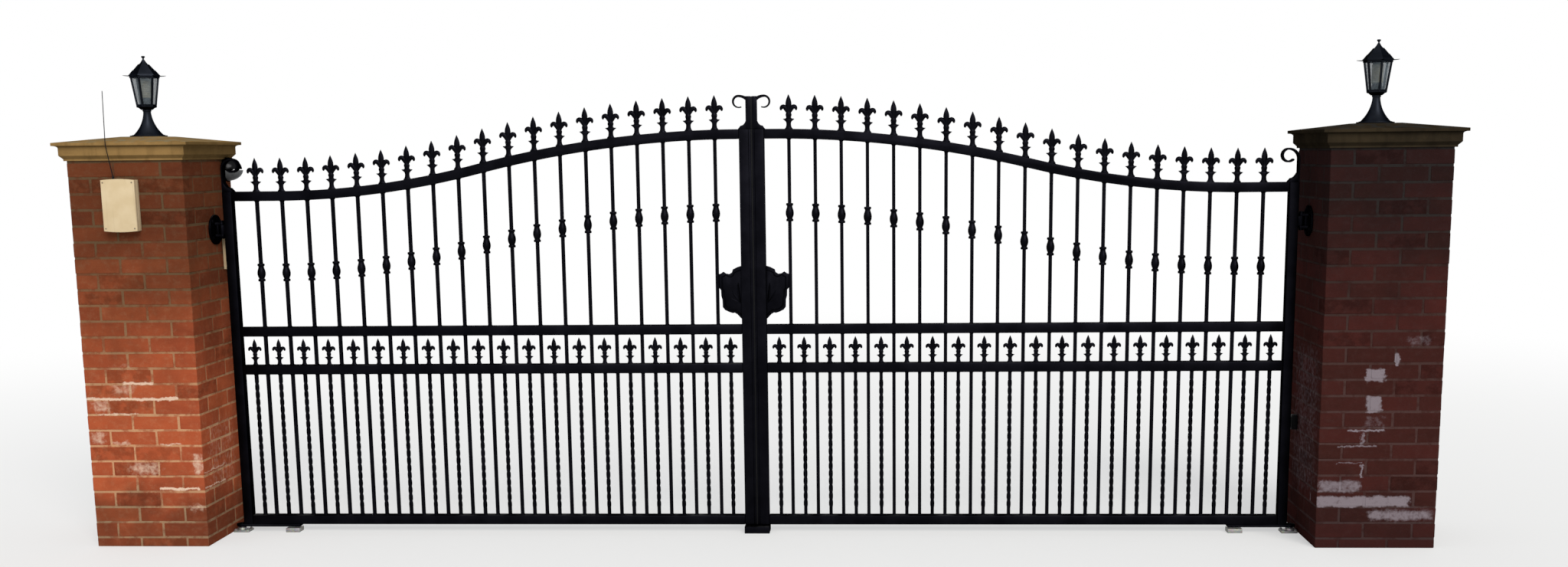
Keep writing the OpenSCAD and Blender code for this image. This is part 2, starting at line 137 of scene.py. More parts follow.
class Value:
    """A shader socket that grows Math nodes when it is used in an expression."""

    def __init__(self, tree: Tree, socket: bpy.types.NodeSocket) -> None:
        """Wraps one output socket."""
        self.tree = tree
        self.socket = socket

    def math(self, operation: str, *others: Operand, clamp: bool = False) -> Value:
        """Adds one Math node.

        Args:
            operation: The node's operation.
            others: The operands that follow this one.
            clamp: Whether the result is kept between 0 and 1.

        Returns:
            The node's result.
        """
        operands = dict(enumerate((self, *others)))
        return self.tree.node("ShaderNodeMath", operands, operation=operation, use_clamp=clamp)

    def __add__(self, other: Operand) -> Value:
        """Sum."""
        return self.math("ADD", other)

    def __sub__(self, other: Operand) -> Value:
        """Difference."""
        return self.math("SUBTRACT", other)

    def __rsub__(self, other: float) -> Value:
        """Difference from a number."""
        return self.tree.node("ShaderNodeMath", {0: other, 1: self}, operation="SUBTRACT")

    def __mul__(self, other: Operand) -> Value:
        """Product."""
        return self.math("MULTIPLY", other)

    def larger(self, other: Operand) -> Value:
        """The larger of two values."""
        return self.math("MAXIMUM", other)

    def held(self) -> Value:
        """This value kept between 0 and 1."""
        return self.math("ADD", 0.0, clamp=True)

    def rise(self, low: float, high: float) -> Value:
        """A smooth step from 0 at low to 1 at high, or down where low is the larger."""
        ends = {1: low, 2: high, 3: 0.0, 4: 1.0} if low < high else {1: high, 2: low, 3: 1.0, 4: 0.0}
        return self.tree.node("ShaderNodeMapRange", {0: self, **ends}, interpolation_type="SMOOTHSTEP")

    def band(self, low: float, high: float, soft: float) -> Value:
        """1 between low and high and 0 outside, with soft borders."""
        return self.rise(low - soft, low + soft) * self.rise(high + soft, high - soft)


class Tree:
    """A node tree that ends in one output."""

    def __init__(self, owner: Union[Material, bpy.types.World], output: str) -> None:
        """Empties a node tree and adds its output.

        Args:
            owner: The material or world whose tree it is.
            output: The output node's type.
        """
        owner.use_nodes = True
        self.tree = owner.node_tree
        self.tree.nodes.clear()
        self.output = self.tree.nodes.new(output)

    def feed(self, socket: bpy.types.NodeSocket, operand: Operand) -> None:
        """Links or sets one input.

        Args:
            socket: The input.
            operand: A value, a number or a colour.
        """
        if isinstance(operand, Value):
            self.tree.links.new(operand.socket, socket)
        else:
            plain = socket.type == "RGBA" and len(operand) == 3
            socket.default_value = (*operand, 1.0) if plain else operand

    def node(
        self,
        kind: str,
        inputs: Mapping[Union[int, str], Operand] | None = None,
        output: Union[int, str] = 0,
        **settings: object,
    ) -> Value:
        """Adds any node.

        Args:
            kind: The node's type.
            inputs: Values or numbers for its sockets, by index or name.
            output: The output that is used.
            settings: Its properties, set first.

        Returns:
            The chosen output.
        """
        made = self.tree.nodes.new(kind)
        for name, setting in settings.items():
            setattr(made, name, setting)
        for key, operand in (inputs or {}).items():
            self.feed(made.inputs[key], operand)
        return Value(self, made.outputs[output])

    def show(self, shader: Value) -> None:
        """Makes a shader the one that the tree ends in."""
        self.feed(self.output.inputs["Surface"], shader)


class Shader(Tree):
    """The node tree of one material."""

    def __init__(self, name: str) -> None:
        """Makes a material with a Principled shader.

        Args:
            name: The material's name.
        """
        self.material = bpy.data.materials.new(name)
        super().__init__(self.material, "ShaderNodeOutputMaterial")
        self.surface = self.tree.nodes.new("ShaderNodeBsdfPrincipled")
        self.show(Value(self, self.surface.outputs[0]))

    @cached_property
    def place(self) -> Value:
        """The point of the surface, in metres in the model's frame."""
        return self.node("ShaderNodeTexCoord", output="Object")

    @cached_property
    def axes(self) -> tuple[Value, ...]:
        """X, Y and Z of the point of the surface."""
        return self.split(self.place)

    @cached_property
    def facing(self) -> tuple[Value, ...]:
        """X, Y and Z of the surface's own normal."""
        return self.split(self.node("ShaderNodeNewGeometry", output="Normal"))

    def split(self, vector: Value) -> tuple[Value, ...]:
        """The three parts of a vector."""
        parts = self.node("ShaderNodeSeparateXYZ", {0: vector}).socket.node.outputs
        return tuple(Value(self, part) for part in parts)

    def noise(self, scale: float, detail: float = 3.0, roughness: float = 0.55, offset: float = 0.0) -> Value:
        """Fractal noise about 0.5 over the surface's point.

        Args:
            scale: Features per metre.
            detail: Octaves.
            roughness: Weight of the finer octaves.
            offset: Moves the pattern, so that two noises differ.

        Returns:
            The noise.
        """
        where = self.place
        if offset:
            move = (offset, 2 * offset, 3 * offset)
            where = self.node("ShaderNodeVectorMath", {0: where, 1: move}, operation="ADD")
        inputs = {"Vector": where, "Scale": scale, "Detail": detail, "Roughness": roughness}
        return self.node("ShaderNodeTexNoise", inputs)

    def stretched(self, scale: Sequence[float], detail: float = 2.0) -> Value:
        """Noise with a scale of its own along each axis, for streaks."""
        where = self.node("ShaderNodeVectorMath", {0: self.place, 1: scale}, operation="MULTIPLY")
        return self.node("ShaderNodeTexNoise", {"Vector": where, "Scale": 1.0, "Detail": detail})

    def mix(self, factor: Operand, first: Operand, second: Operand, blend: str = "MIX") -> Value:
        """Mixes two colours.

        Args:
            factor: How much of the second colour shows.
            first: A value, or three numbers.
            second: A value, or three numbers.
            blend: The node's blend type.

        Returns:
            The mixed colour.
        """
        inputs = {0: factor, 6: first, 7: second}
        return self.node("ShaderNodeMix", inputs, 2, data_type="RGBA", blend_type=blend, clamp_factor=True)

    def ramp(self, factor: Value, colours: Sequence[Colour]) -> Value:
        """A ramp through colours at equal steps.

        Args:
            factor: The place on the ramp, 0 to 1.
            colours: Its colours.

        Returns:
            The colour.
        """
        made = self.node("ShaderNodeValToRGB", {0: factor})
        stops = made.socket.node.color_ramp.elements
        while len(stops) < len(colours):
            stops.new(0.5)
        for i, (stop, colour) in enumerate(zip(stops, colours)):
            stop.position = i / (len(colours) - 1)
            stop.color = (*colour, 1.0)
        return made

    def bump(self, height: Value, distance: float, strength: float) -> Value:
        """Turns a height from 0 to 1, which is distance metres deep, into a normal."""
        return self.node("ShaderNodeBump", {"Height": height, "Distance": distance, "Strength": strength})

    def dress(self, **inputs: Operand) -> Material:
        """Sets the Principled shader's sockets, named with _ for a space, and returns the material."""
        for name, operand in inputs.items():
            self.feed(self.surface.inputs[name.replace("_", " ")], operand)
        return self.material


# Finishes


@dataclass(frozen=True)
class BlackPaint:
    """Satin black paint on iron, with dust on what faces up and a little rust in scattered spots.

    Faces seen along them stay as dark as in the photograph, because the paint reflects as a dark metal does.

    Attributes:
        name: The material's name.
        base: The paint's colour.
        sheen: Its roughness.
        edge: Tint of its reflection on faces seen along them.
        dust: How much dust lies on faces that look up.
        rust: How much rust shows.
    """

    name: str = "black_paint"
    base: Colour = (0.0038, 0.0038, 0.0055)
    sheen: float = 0.42
    edge: float = 0.06
    dust: float = 0.5
    rust: float = 0.25

    def material(self) -> Material:
        """Builds the paint."""
        s = Shader(self.name)
        patches = s.noise(9, 4)
        grain = s.noise(420, 2, offset=3)
        dust = s.facing[2].rise(0.75, 0.98) * patches.rise(0.4, 0.7)
        spots = s.noise(70, 5, 0.7, offset=7).rise(0.66, 0.74) * s.noise(3.5, 2, offset=11).rise(0.52, 0.64)
        paint = s.mix(patches.rise(0.3, 0.75), self.base, shade(self.base, 1.8))
        dusty = s.mix(dust * self.dust, paint, DUST)
        height = grain * 0.5 + s.noise(60, 3, offset=5) * 0.5
        return s.dress(
            Base_Color=s.mix(spots * self.rust, dusty, RUST),
            Roughness=patches * 0.14 + grain * 0.08 + (self.sheen - 0.1) + spots * 0.3 + dust * 0.12,
            Metallic=(1 - dust * self.dust - spots * self.rust).held(),
            Normal=s.bump(height, 0.0006, 0.5),
            Specular_Tint=(self.edge, self.edge, 1.1 * self.edge),
            Specular_IOR_Level=0.0,
        )


@dataclass(frozen=True)
class SaltMark:
    """A patch of white salts on a pier's face.

    Attributes:
        across: Its two ends across the face, from the arris beside the drive outwards, or from front to back.
        height: Its lower and upper limit.
        strength: How white it is.
        soft: How far its border fades.
        face: The face that it is on.
    """

    across: Point
    height: Point
    strength: float = 0.8
    soft: float = 0.006
    face: Face = Face.VIEWER


@dataclass(frozen=True)
class Masonry:
    """The colours of one pier's bricks and mortar, where it is stained, and where shade is painted on it.

    Attributes:
        side: The side of the drive that the pier is on.
        tones: Brick colours from the darkest to the lightest brick.
        mortar: Colour of the mortar in its upper and lower courses.
        salt: Colour of the salts.
        weather_and_shade: Tint of the top, which is partly weathering and partly painted shade under the cap,
        of the dirty foot, and of the face towards the drive, which is painted shade.
        weather_and_shade_heights: The heights between which the top's weathering and painted shade set in.
        marks: The patches of salts.
        ragged: How far the patches' borders wander, across and in height.
    """

    side: Side
    tones: tuple[Colour, ...]
    mortar: tuple[Colour, Colour]
    salt: Colour
    weather_and_shade: tuple[Colour, Colour, Colour]
    weather_and_shade_heights: Point
    marks: tuple[SaltMark, ...]
    ragged: Point = (0.07, 0.035)

    def salts(self, s: Shader) -> Value:
        """Adds up the patches of salts, with borders that are broken by noise.

        Args:
            s: The material's shader.

        Returns:
            How white the surface is, from 0 to 1.
        """
        x, y, z = s.axes
        wobble = (s.noise(30, 5, 0.65, offset=2) - 0.5) * self.ragged[0]
        level = z + (s.noise(24, 5, 0.65, offset=6) - 0.5) * self.ragged[1]
        out, back = x * self.side.value - PIER_EDGE + wobble, y - PIER_FRONT + wobble
        faces = {
            Face.VIEWER: (out, (s.facing[1] * -1).rise(0.3, 0.7)),
            Face.DRIVE: (back, (s.facing[0] * -self.side.value).rise(0.3, 0.7)),
        }
        total = z * 0.0
        for mark in self.marks:
            along, seen = faces[mark.face]
            patch = along.band(*mark.across, 1.6 * mark.soft) * level.band(*mark.height, mark.soft) * seen
            total = total.larger(patch * mark.strength)
        broken = (total + (s.noise(48, 4, 0.6, offset=4) - 0.5) * 1.3).rise(0.2, 0.88)
        return (broken * total * 1.25).held()

    def weathered_and_shaded(self, s: Shader, base: Value) -> Value:
        """Darkens the courses under the cap with weathering and with painted shade from its overhang,
        the foot with dirt, and the face towards the drive with painted shade.

        Args:
            s: The material's shader.
            base: The clean colour.

        Returns:
            The weathered colour.
        """
        x, _, z = s.axes
        top, foot, drive = self.weather_and_shade
        level = z + (s.noise(5, 3, 0.6, offset=21) - 0.5) * 0.7
        # Darker towards the top: partly weathering, partly painted shade under the cap.
        colour = s.mix(level.rise(*self.weather_and_shade_heights), base, top, "MULTIPLY")
        colour = s.mix(level.rise(0.42, 0.05), colour, foot, "MULTIPLY")
        # Painted shade on the face towards the drive, strongest near the top.
        front = (s.facing[1] * -1).rise(0.75, 0.95)
        inner = (x * self.side.value - PIER_EDGE).rise(0.012, 0.004) * (1 - front)
        return s.mix(inner * level.rise(-0.3, 1.5), colour, drive, "MULTIPLY")

    def brick(self) -> Material:
        """Builds the bricks' finish."""
        s = Shader(self.side.word + "_brick")
        tone = s.node("ShaderNodeAttribute", output="Fac", attribute_name="tone")
        blotch = s.noise(16, 5, 0.65)
        smear = s.stretched((9, 9, 34), 4)
        speck = s.noise(260, 4, 0.75, offset=9)
        base = s.ramp((tone * 0.5 + blotch * 0.45 + smear * 0.45 - 0.2).held(), self.tones)
        dark, light = shade(self.tones[0], 0.45), shade(self.tones[-1], 1.3, 0.05)
        burnt = (tone * 13.7).math("FRACT").rise(0.8, 0.92) * (blotch + smear * 0.5).rise(0.62, 0.85)
        base = s.mix(burnt * 0.5, base, dark)
        base = s.mix(speck.rise(0.58, 0.72) * 0.4, base, dark)
        base = s.mix(speck.rise(0.42, 0.3) * 0.2, base, light)
        dusty = s.noise(34, 5, 0.7, offset=17).rise(0.46, 0.78)
        base = self.weathered_and_shaded(s, s.mix(dusty * 0.2, base, self.mortar[1]))
        salt = self.salts(s)
        height = speck * 0.35 + s.noise(75, 5, 0.7, offset=15) * 0.4 + smear * 0.25
        return s.dress(
            Base_Color=s.mix(salt, base, self.salt),
            Roughness=salt * 0.08 + 0.88,
            Normal=s.bump(height, 0.004, 0.9),
            Specular_IOR_Level=0.0,
        )

    def bed(self) -> Material:
        """Builds the mortar's finish, smeared here and there with the bricks' colour."""
        s = Shader(self.side.word + "_mortar")
        sand = s.noise(520, 3, 0.7, offset=1)
        patch = s.noise(15, 5, 0.7, offset=8)
        base = s.mix((s.axes[2] + (patch - 0.5) * 0.9).rise(1.2, 0.5), *self.mortar)
        base = s.mix(patch.rise(0.47, 0.62) * 0.65, base, self.tones[1])
        base = s.mix(sand.rise(0.5, 0.7) * 0.4, base, shade(self.mortar[0], 0.4))
        base = self.weathered_and_shaded(s, base)
        colour = s.mix(self.salts(s) * 1.2, base, self.salt)
        normal = s.bump(sand * 0.4 + patch * 0.6, 0.004, 0.9)
        return s.dress(Base_Color=colour, Roughness=0.95, Normal=normal, Specular_IOR_Level=0.0)


@dataclass(frozen=True)
class CastStone:
    """Weathered buff cast stone, with painted shade on its faces that look down or sideways.

    Attributes:
        name: The material's name.
        light: Colour of the cleaner stone.
        dark: Colour of the weathered stone.
        grime_and_shade: How dark the drips are, and the painted shade on faces that look down.
        under: The heights over which the painted shade on the faces that look sideways sets in.
    """

    name: str
    light: Colour
    dark: Colour
    grime_and_shade: float = 0.6
    under: Point = (1.8, 1.86)

    def material(self) -> Material:
        """Builds the stone."""
        s = Shader(self.name)
        z, across, up = s.axes[2], s.facing[0], s.facing[2]
        sand = s.noise(460, 3, 0.7, offset=2)
        streaks = s.stretched((26, 26, 2.5), 3)
        base = s.mix(s.noise(7, 4, 0.6).rise(0.3, 0.68), self.dark, self.light)
        base = s.mix(sand.rise(0.55, 0.75) * 0.45, base, shade(self.dark, 0.5))
        base = s.mix(sand.rise(0.42, 0.25) * 0.3, base, shade(self.light, 1.35))
        base = s.mix(streaks.rise(0.52, 0.68) * 0.4 * self.grime_and_shade, base, shade(self.dark, 0.4))
        # Painted shade on the faces that look down.
        base = s.mix((up * -1).rise(0.2, 0.9) * self.grime_and_shade, base, shade(self.dark, 0.3))
        lichen = up.rise(0.6, 0.95) * s.noise(22, 4, offset=6).rise(0.45, 0.6)
        base = s.mix(lichen * 0.55, base, tuple(a * b for a, b in zip(self.light, LICHEN)))
        # Painted shade on the faces that look sideways.
        inner = across.math("ABSOLUTE").rise(0.5, 0.9) * z.rise(*self.under)
        base = s.mix(inner * 0.6, base, shade(self.dark, 0.35))
        normal = s.bump(sand * 0.6 + s.noise(90, 3, offset=4) * 0.4, 0.0018, 0.7)
        return s.dress(Base_Color=base, Roughness=0.92, Normal=normal, Specular_IOR_Level=0.0)


@dataclass(frozen=True)
class Moulding:
    """Moulded plastic.

    Attributes:
        name: The material's name.
        base: Its colour.
        worn: The colour that it fades to.
        rough: Its roughness.
        texture: Depth of its moulded grain, in metres.
        reflection: Its specular level.
    """

    name: str
    base: Colour
    worn: Colour
    rough: float = 0.5
    texture: float = 0.00025
    reflection: float = 0.15

    def material(self) -> Material:
        """Builds the plastic."""
        s = Shader(self.name)
        patch = s.noise(11, 3)
        streak = s.stretched((60, 60, 4), 2).rise(0.56, 0.72)
        base = s.mix(patch.rise(0.35, 0.7), self.base, self.worn)
        base = s.mix(streak * 0.18, base, shade(self.base, 0.55))
        base = s.mix(s.facing[2].rise(0.6, 0.95) * 0.3, base, shade(self.base, 0.6))
        rough = patch * 0.1 + (self.rough - 0.05)
        normal = s.bump(s.noise(900, 1), self.texture, 0.6)
        return s.dress(Base_Color=base, Roughness=rough, Normal=normal, Specular_IOR_Level=self.reflection)


@dataclass(frozen=True)
class Galvanised:
    """Dull galvanised steel with its spangle."""

    name: str = "galvanised"
    base: Colour = (0.33, 0.33, 0.32)

    def material(self) -> Material:
        """Builds the zinc."""
        s = Shader(self.name)
        cells = s.node("ShaderNodeTexVoronoi", {"Vector": s.place, "Scale": 180.0}, "Color", feature="F1")
        patch = s.noise(25, 4)
        base = s.mix(patch.rise(0.55, 0.72) * 0.7, s.mix(0.12, self.base, cells), ZINC_DIRT)
        rough = patch * 0.25 + 0.42
        return s.dress(Base_Color=base, Roughness=rough, Metallic=0.85, Normal=s.bump(patch, 0.0006, 0.5))


@dataclass(frozen=True)
class Pane:
    """Weathered lantern glass: a grey film that thickens towards the panes' foot and runs down in streaks."""

    name: str = "lantern_pane"
    film: Colour = (0.11, 0.135, 0.155)
    foot: float = 2.109

    def material(self) -> Material:
        """Builds the glass."""
        s = Shader(self.name)
        film = s.noise(45, 4)
        streak = s.stretched((120, 120, 9), 2)
        amount = film * 0.16 + streak * 0.16 + 0.2 + (s.axes[2] - self.foot).rise(0.012, 0.0) * 0.12
        colour = s.mix(film.rise(0.35, 0.65), self.film, shade(self.film, 1.5))
        rough = film * 0.2 + 0.12
        return s.dress(
            Base_Color=colour, Roughness=rough, Alpha=amount.held(), IOR=1.45, Specular_IOR_Level=0.1
        )


class Palette:
    """Every finish of the gate, built once."""

    def __init__(self) -> None:
        """Builds the finishes."""
        self.iron = BlackPaint().material()
        lantern = BlackPaint("lantern_black", (0.009, 0.0105, 0.014), edge=0.1, dust=0.2, rust=0.1)
        self.lantern_iron = lantern.material()
        cream = Moulding("cream_cover", (0.6, 0.47, 0.285), (0.66, 0.53, 0.34), 0.5)
        screw = Moulding("screw_head", (0.2, 0.16, 0.11), (0.24, 0.2, 0.14), 0.4)
        self.cover = (cream.material(), screw.material())
        hood = BlackPaint("gloss_hood", (0.009, 0.009, 0.0095), sheen=0.2, edge=0.09, dust=0.06, rust=0.0)
        self.gloss = hood.material()
        self.lens = Moulding("grey_lens", (0.1, 0.105, 0.11), (0.14, 0.145, 0.15), 0.35, 0.0001).material()
        self.rubber = Moulding("black_rubber", (0.003, 0.003, 0.004), (0.005, 0.005, 0.006), 0.6).material()
        self.bulb = Moulding("opal_lamp", (0.5, 0.47, 0.34), (0.62, 0.59, 0.45), 0.35, 0.0001).material()
        self.zinc = Galvanised().material()
        self.pane = Pane().material()
        stones = (
            CastStone("left_cap_stone", (0.29, 0.175, 0.065), (0.19, 0.115, 0.042)),
            # The right cap's stone is drawn dark as painted shade, like the right pier's brickwork.
            CastStone("right_cap_stone", (0.036, 0.0265, 0.0155), (0.021, 0.016, 0.0105)),
        )
        self.stone = [stone.material() for stone in stones]
        left = Masonry(
            side=Side.LEFT,
            tones=((0.25, 0.054, 0.025), (0.34, 0.073, 0.031), (0.42, 0.093, 0.037), (0.5, 0.12, 0.046)),
            mortar=((0.36, 0.165, 0.08), (0.56, 0.3, 0.16)),
            salt=(0.72, 0.52, 0.39),
            weather_and_shade=((0.32, 0.42, 0.46), (0.5, 0.6, 0.66), (0.98, 1.0, 1.0)),
            weather_and_shade_heights=(0.45, 1.6),
            marks=LEFT_SALTS,
        )
        # The right pier is drawn dark throughout and its salts lilac grey: painted shade, as the pier stands
        # in shadow.
        right = Masonry(
            side=Side.RIGHT,
            tones=(
                (0.033, 0.0115, 0.0095), (0.043, 0.0138, 0.0115),
                (0.053, 0.015, 0.0128), (0.066, 0.0172, 0.0145),
            ),
            mortar=((0.052, 0.029, 0.025), (0.07, 0.037, 0.034)),
            salt=(0.21, 0.175, 0.195),
            weather_and_shade=((0.46, 0.7, 0.78), (0.75, 0.85, 0.9), (1.0, 1.0, 1.0)),
            weather_and_shade_heights=(0.9, 1.75),
            marks=RIGHT_SALTS,
        )
        self.brickwork = {walls.side: (walls.brick(), walls.bed()) for walls in (left, right)}


LEFT_SALTS = (
    SaltMark((0.43, 0.53), (0.655, 0.72), 0.55, 0.02),
    SaltMark((0.1, 0.55), (0.715, 0.73), 0.85, 0.004),
    SaltMark((0.3, 0.43), (0.74, 0.8), 0.5, 0.022),
    SaltMark((0.22, 0.36), (0.79, 0.806), 0.8, 0.004),
    SaltMark((0.47, 0.54), (0.5, 0.57), 0.6, 0.02),
    SaltMark((0.34, 0.44), (0.5, 0.52), 0.6, 0.01),
    SaltMark((0.2, 0.37), (0.35, 0.42), 0.6, 0.03),
    SaltMark((0.03, 0.22), (0.278, 0.292), 0.9, 0.006),
    SaltMark((0.0, 0.09), (0.17, 0.21), 0.55, 0.02),
    SaltMark((0.0, 0.05), (0.35, 0.46), 0.65, 0.014),
    SaltMark((0.1, 0.2), (0.5, 0.51), 0.7, 0.006),
    SaltMark((0.3, 0.5), (0.645, 0.657), 0.7, 0.006),
    SaltMark((0.28, 0.45), (0.86, 0.9), 0.3, 0.02),
    SaltMark((0.05, 0.4), (0.25, 0.6), 0.34, 0.05, Face.DRIVE),
    SaltMark((0.0, 0.25), (0.355, 0.365), 0.6, 0.004, Face.DRIVE),
    SaltMark((0.0, 0.25), (0.28, 0.29), 0.7, 0.004, Face.DRIVE),
)
RIGHT_SALTS = (
    SaltMark((0.37, 0.5), (0.945, 1.0), 0.45, 0.02),
    SaltMark((0.33, 0.35), (0.86, 0.92), 0.9, 0.005),
    SaltMark((0.2, 0.29), (0.785, 0.85), 0.85, 0.008),
    SaltMark((0.21, 0.275), (0.64, 0.72), 0.85, 0.008),
    SaltMark((0.2, 0.3), (0.56, 0.63), 0.4, 0.012),
    SaltMark((0.13, 0.3), (0.552, 0.562), 0.8, 0.004),
    SaltMark((0.19, 0.21), (0.49, 0.55), 0.7, 0.004),
    SaltMark((0.09, 0.27), (0.478, 0.488), 0.7, 0.004),
    SaltMark((0.19, 0.205), (0.33, 0.4), 0.8, 0.004),
    SaltMark((0.09, 0.2), (0.402, 0.41), 0.6, 0.004),
    SaltMark((0.0, 0.2), (0.265, 0.325), 0.7, 0.012),
    SaltMark((0.0, 0.43), (0.195, 0.25), 0.85, 0.01),
    SaltMark((0.24, 0.54), (0.13, 0.185), 0.75, 0.02),
    SaltMark((0.0, 0.5), (0.2, 0.95), 0.4, 0.1, Face.DRIVE),
)


# Shapes


class Shape:
    """A mesh in the making. A part is built in a bmesh of its own and then added."""

    def __init__(self, *parts: Mesh) -> None:
        """Starts with these parts, or empty."""
        self.mesh = bmesh.new()
        for part in parts:
            self.add(part)

    def add(self, part: Mesh, *places: Matrix, slot: int = 0, tone: float | None = None) -> None:
        """Adds copies of a part and frees it.

        Args:
            part: What is added, about its own origin.
            places: One matrix for each copy. None given means one copy as it is.
            slot: The index of its material.
            tone: A number that its finish reads, where it has one.
        """
        bmesh.ops.recalc_face_normals(part, faces=part.faces)
        made = bpy.data.meshes.new("part")
        part.to_mesh(made)
        part.free()
        layers = self.mesh.verts.layers.float
        layer = None if tone is None else layers.get("tone") or layers.new("tone")
        for place in places or (Matrix.Identity(4),):
            verts, faces = len(self.mesh.verts), len(self.mesh.faces)
            self.mesh.from_mesh(made)
            self.mesh.verts.ensure_lookup_table()
            self.mesh.faces.ensure_lookup_table()
            new = self.mesh.verts[verts:]
            bmesh.ops.transform(self.mesh, matrix=place, verts=new)
            for face in self.mesh.faces[faces:]:
                face.material_index = slot
            if place.determinant() < 0:
                bmesh.ops.reverse_faces(self.mesh, faces=self.mesh.faces[faces:])
            if layer is not None:
                for vert in new:
                    vert[layer] = tone
        bpy.data.meshes.remove(made)

    def finish(
        self, name: str, body: str, slot: str, materials: Sequence[Material], *nodes: str, sharp: float = 38.0
    ) -> None:
        """Turns the mesh into a piece that rides on a body.

        Args:
            name: The piece's name.
            body: The body that carries it.
            slot: The record's material slot, which is not used.
            materials: Its finishes, in the order of their indices.
            nodes: The nodes that it stands for.
            sharp: Edges that turn more than this many degrees stay sharp.
        """
        made = bpy.data.meshes.new(name)
        self.mesh.to_mesh(made)
        self.mesh.free()
        made.shade_smooth()
        made.set_sharp_from_angle(angle=math.radians(sharp))
        for material in materials:
            made.materials.append(material)
        piece = bpy.data.objects.new(name, made)
        bpy.context.scene.collection.objects.link(piece)
        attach(piece, body)
        if nodes:
            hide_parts(*nodes)
        LOG.info("%s: %d faces on %s", name, len(made.polygons), body)

def softened_block(low: Sequence[float], high: Sequence[float], edge: float, segments: int = 2) -> Mesh:
    """A block with rounded edges.

    Args:
        low: Its lowest corner.
        high: Its highest corner.
        edge: Radius of its edges.
        segments: Steps of the rounding.

    Returns:
        The block.
    """
    block = bmesh.new()
    bmesh.ops.create_cube(block, size=1.0)
    bmesh.ops.scale(block, vec=[b - a for a, b in zip(low, high)], verts=block.verts)
    bmesh.ops.translate(block, vec=[(a + b) / 2 for a, b in zip(low, high)], verts=block.verts)
    if edge:
        round_edges(block, block.edges, edge, segments)
    return block


def round_edges(part: Mesh, edges: Sequence[bmesh.types.BMEdge], width: float, segments: int = 2) -> None:
    """Rounds some edges of a part.

    Args:
        part: The part.
        edges: The edges.
        width: Radius of the rounding.
        segments: Its steps.
    """
    settings = {"offset_type": "OFFSET", "affect": "EDGES", "material": -1, "clamp_overlap": True}
    bmesh.ops.bevel(part, geom=list(edges), offset=width, segments=segments, profile=0.5, **settings)
    bmesh.ops.dissolve_degenerate(part, dist=1e-6, edges=part.edges)


def turned(profile: Sequence[Point], steps: int) -> Mesh:
    """A solid of revolution about Z.

    Args:
        profile: Radius and height of its points, from one end to the other.
        steps: Faces round it.

    Returns:
        The solid.
    """
    part = bmesh.new()
    verts = [part.verts.new((r, 0.0, z)) for r, z in profile]
    edges = [part.edges.new(pair) for pair in zip(verts, verts[1:])]
    axis = {"cent": (0, 0, 0), "axis": (0, 0, 1), "angle": 2 * math.pi}
    bmesh.ops.spin(part, geom=verts + edges, steps=steps, use_merge=True, **axis)
    bmesh.ops.remove_doubles(part, verts=part.verts, dist=1e-5)
    open_edges = [e for e in part.edges if e.is_boundary]
    if open_edges:
        bmesh.ops.holes_fill(part, edges=open_edges, sides=0)
    return part


def lathe(profile: Sequence[Point], steps: int) -> Mesh:
    """A solid of revolution from a profile in millimetres."""
    return turned([(r / 1000, z / 1000) for r, z in profile], steps)


def drawn(section: Sequence[Point], frames: Sequence[Matrix]) -> Mesh:
    """A section drawn through a row of frames, closed at both ends.

    Args:
        section: The section's corners, in each frame's X and Y.
        frames: Where the section lies at each step.

    Returns:
        The solid.
    """
    part = bmesh.new()
    corners = [Vector((a, b, 0.0)) for a, b in section]
    face = part.faces.new([part.verts.new(frames[0] @ c) for c in corners])
    for i, (before, after) in enumerate(zip(frames, frames[1:])):
        step = after @ before.inverted()
        made = bmesh.ops.extrude_face_region(part, geom=[face])["geom"]
        moved = [g for g in made if isinstance(g, bmesh.types.BMVert)]
        bmesh.ops.transform(part, matrix=step, verts=moved)
        if i:
            bmesh.ops.delete(part, geom=[face], context="FACES_ONLY")
        face = next(g for g in made if isinstance(g, bmesh.types.BMFace))
    bmesh.ops.recalc_face_normals(part, faces=part.faces)
    return part


def from_node(node: str, width: float = 0.0, segments: int = 2, angle: float = 25.0) -> Mesh:
    """A copy of a node's solids, merged, with its sharp edges rounded.

    Args:
        node: The node.
        width: Radius of the rounding.
        segments: Its steps.
        angle: Edges that turn less than this many degrees are left.

    Returns:
        The copy.
    """
    part = bmesh.new()
    part.from_mesh(bpy.data.objects[node].data)
    bmesh.ops.remove_doubles(part, verts=part.verts, dist=2e-5)
    bmesh.ops.dissolve_limit(part, angle_limit=math.radians(0.4), verts=part.verts, edges=part.edges)
    if width:
        limit = math.radians(angle)
        edges = [e for e in part.edges if e.is_manifold and e.calc_face_angle(0.0) > limit]
        round_edges(part, edges, width, segments)
    return part


class Section(Enum):
    """Outline of a bar or casting, in units of its half width and half depth."""

    SQUARE = ((1, -0.8), (1, 0.8), (0.8, 1), (-0.8, 1), (-1, 0.8), (-1, -0.8), (-0.8, -1), (0.8, -1))
    ROUND = ((1, 0), (0.71, 0.71), (0, 1), (-0.71, 0.71), (-1, 0), (-0.71, -0.71), (0, -1), (0.71, -0.71))
    RIDGED = ((1, 0), (0.55, 0.6), (0, 1), (-0.55, 0.6), (-1, 0), (-0.55, -0.6), (0, -1), (0.55, -0.6))


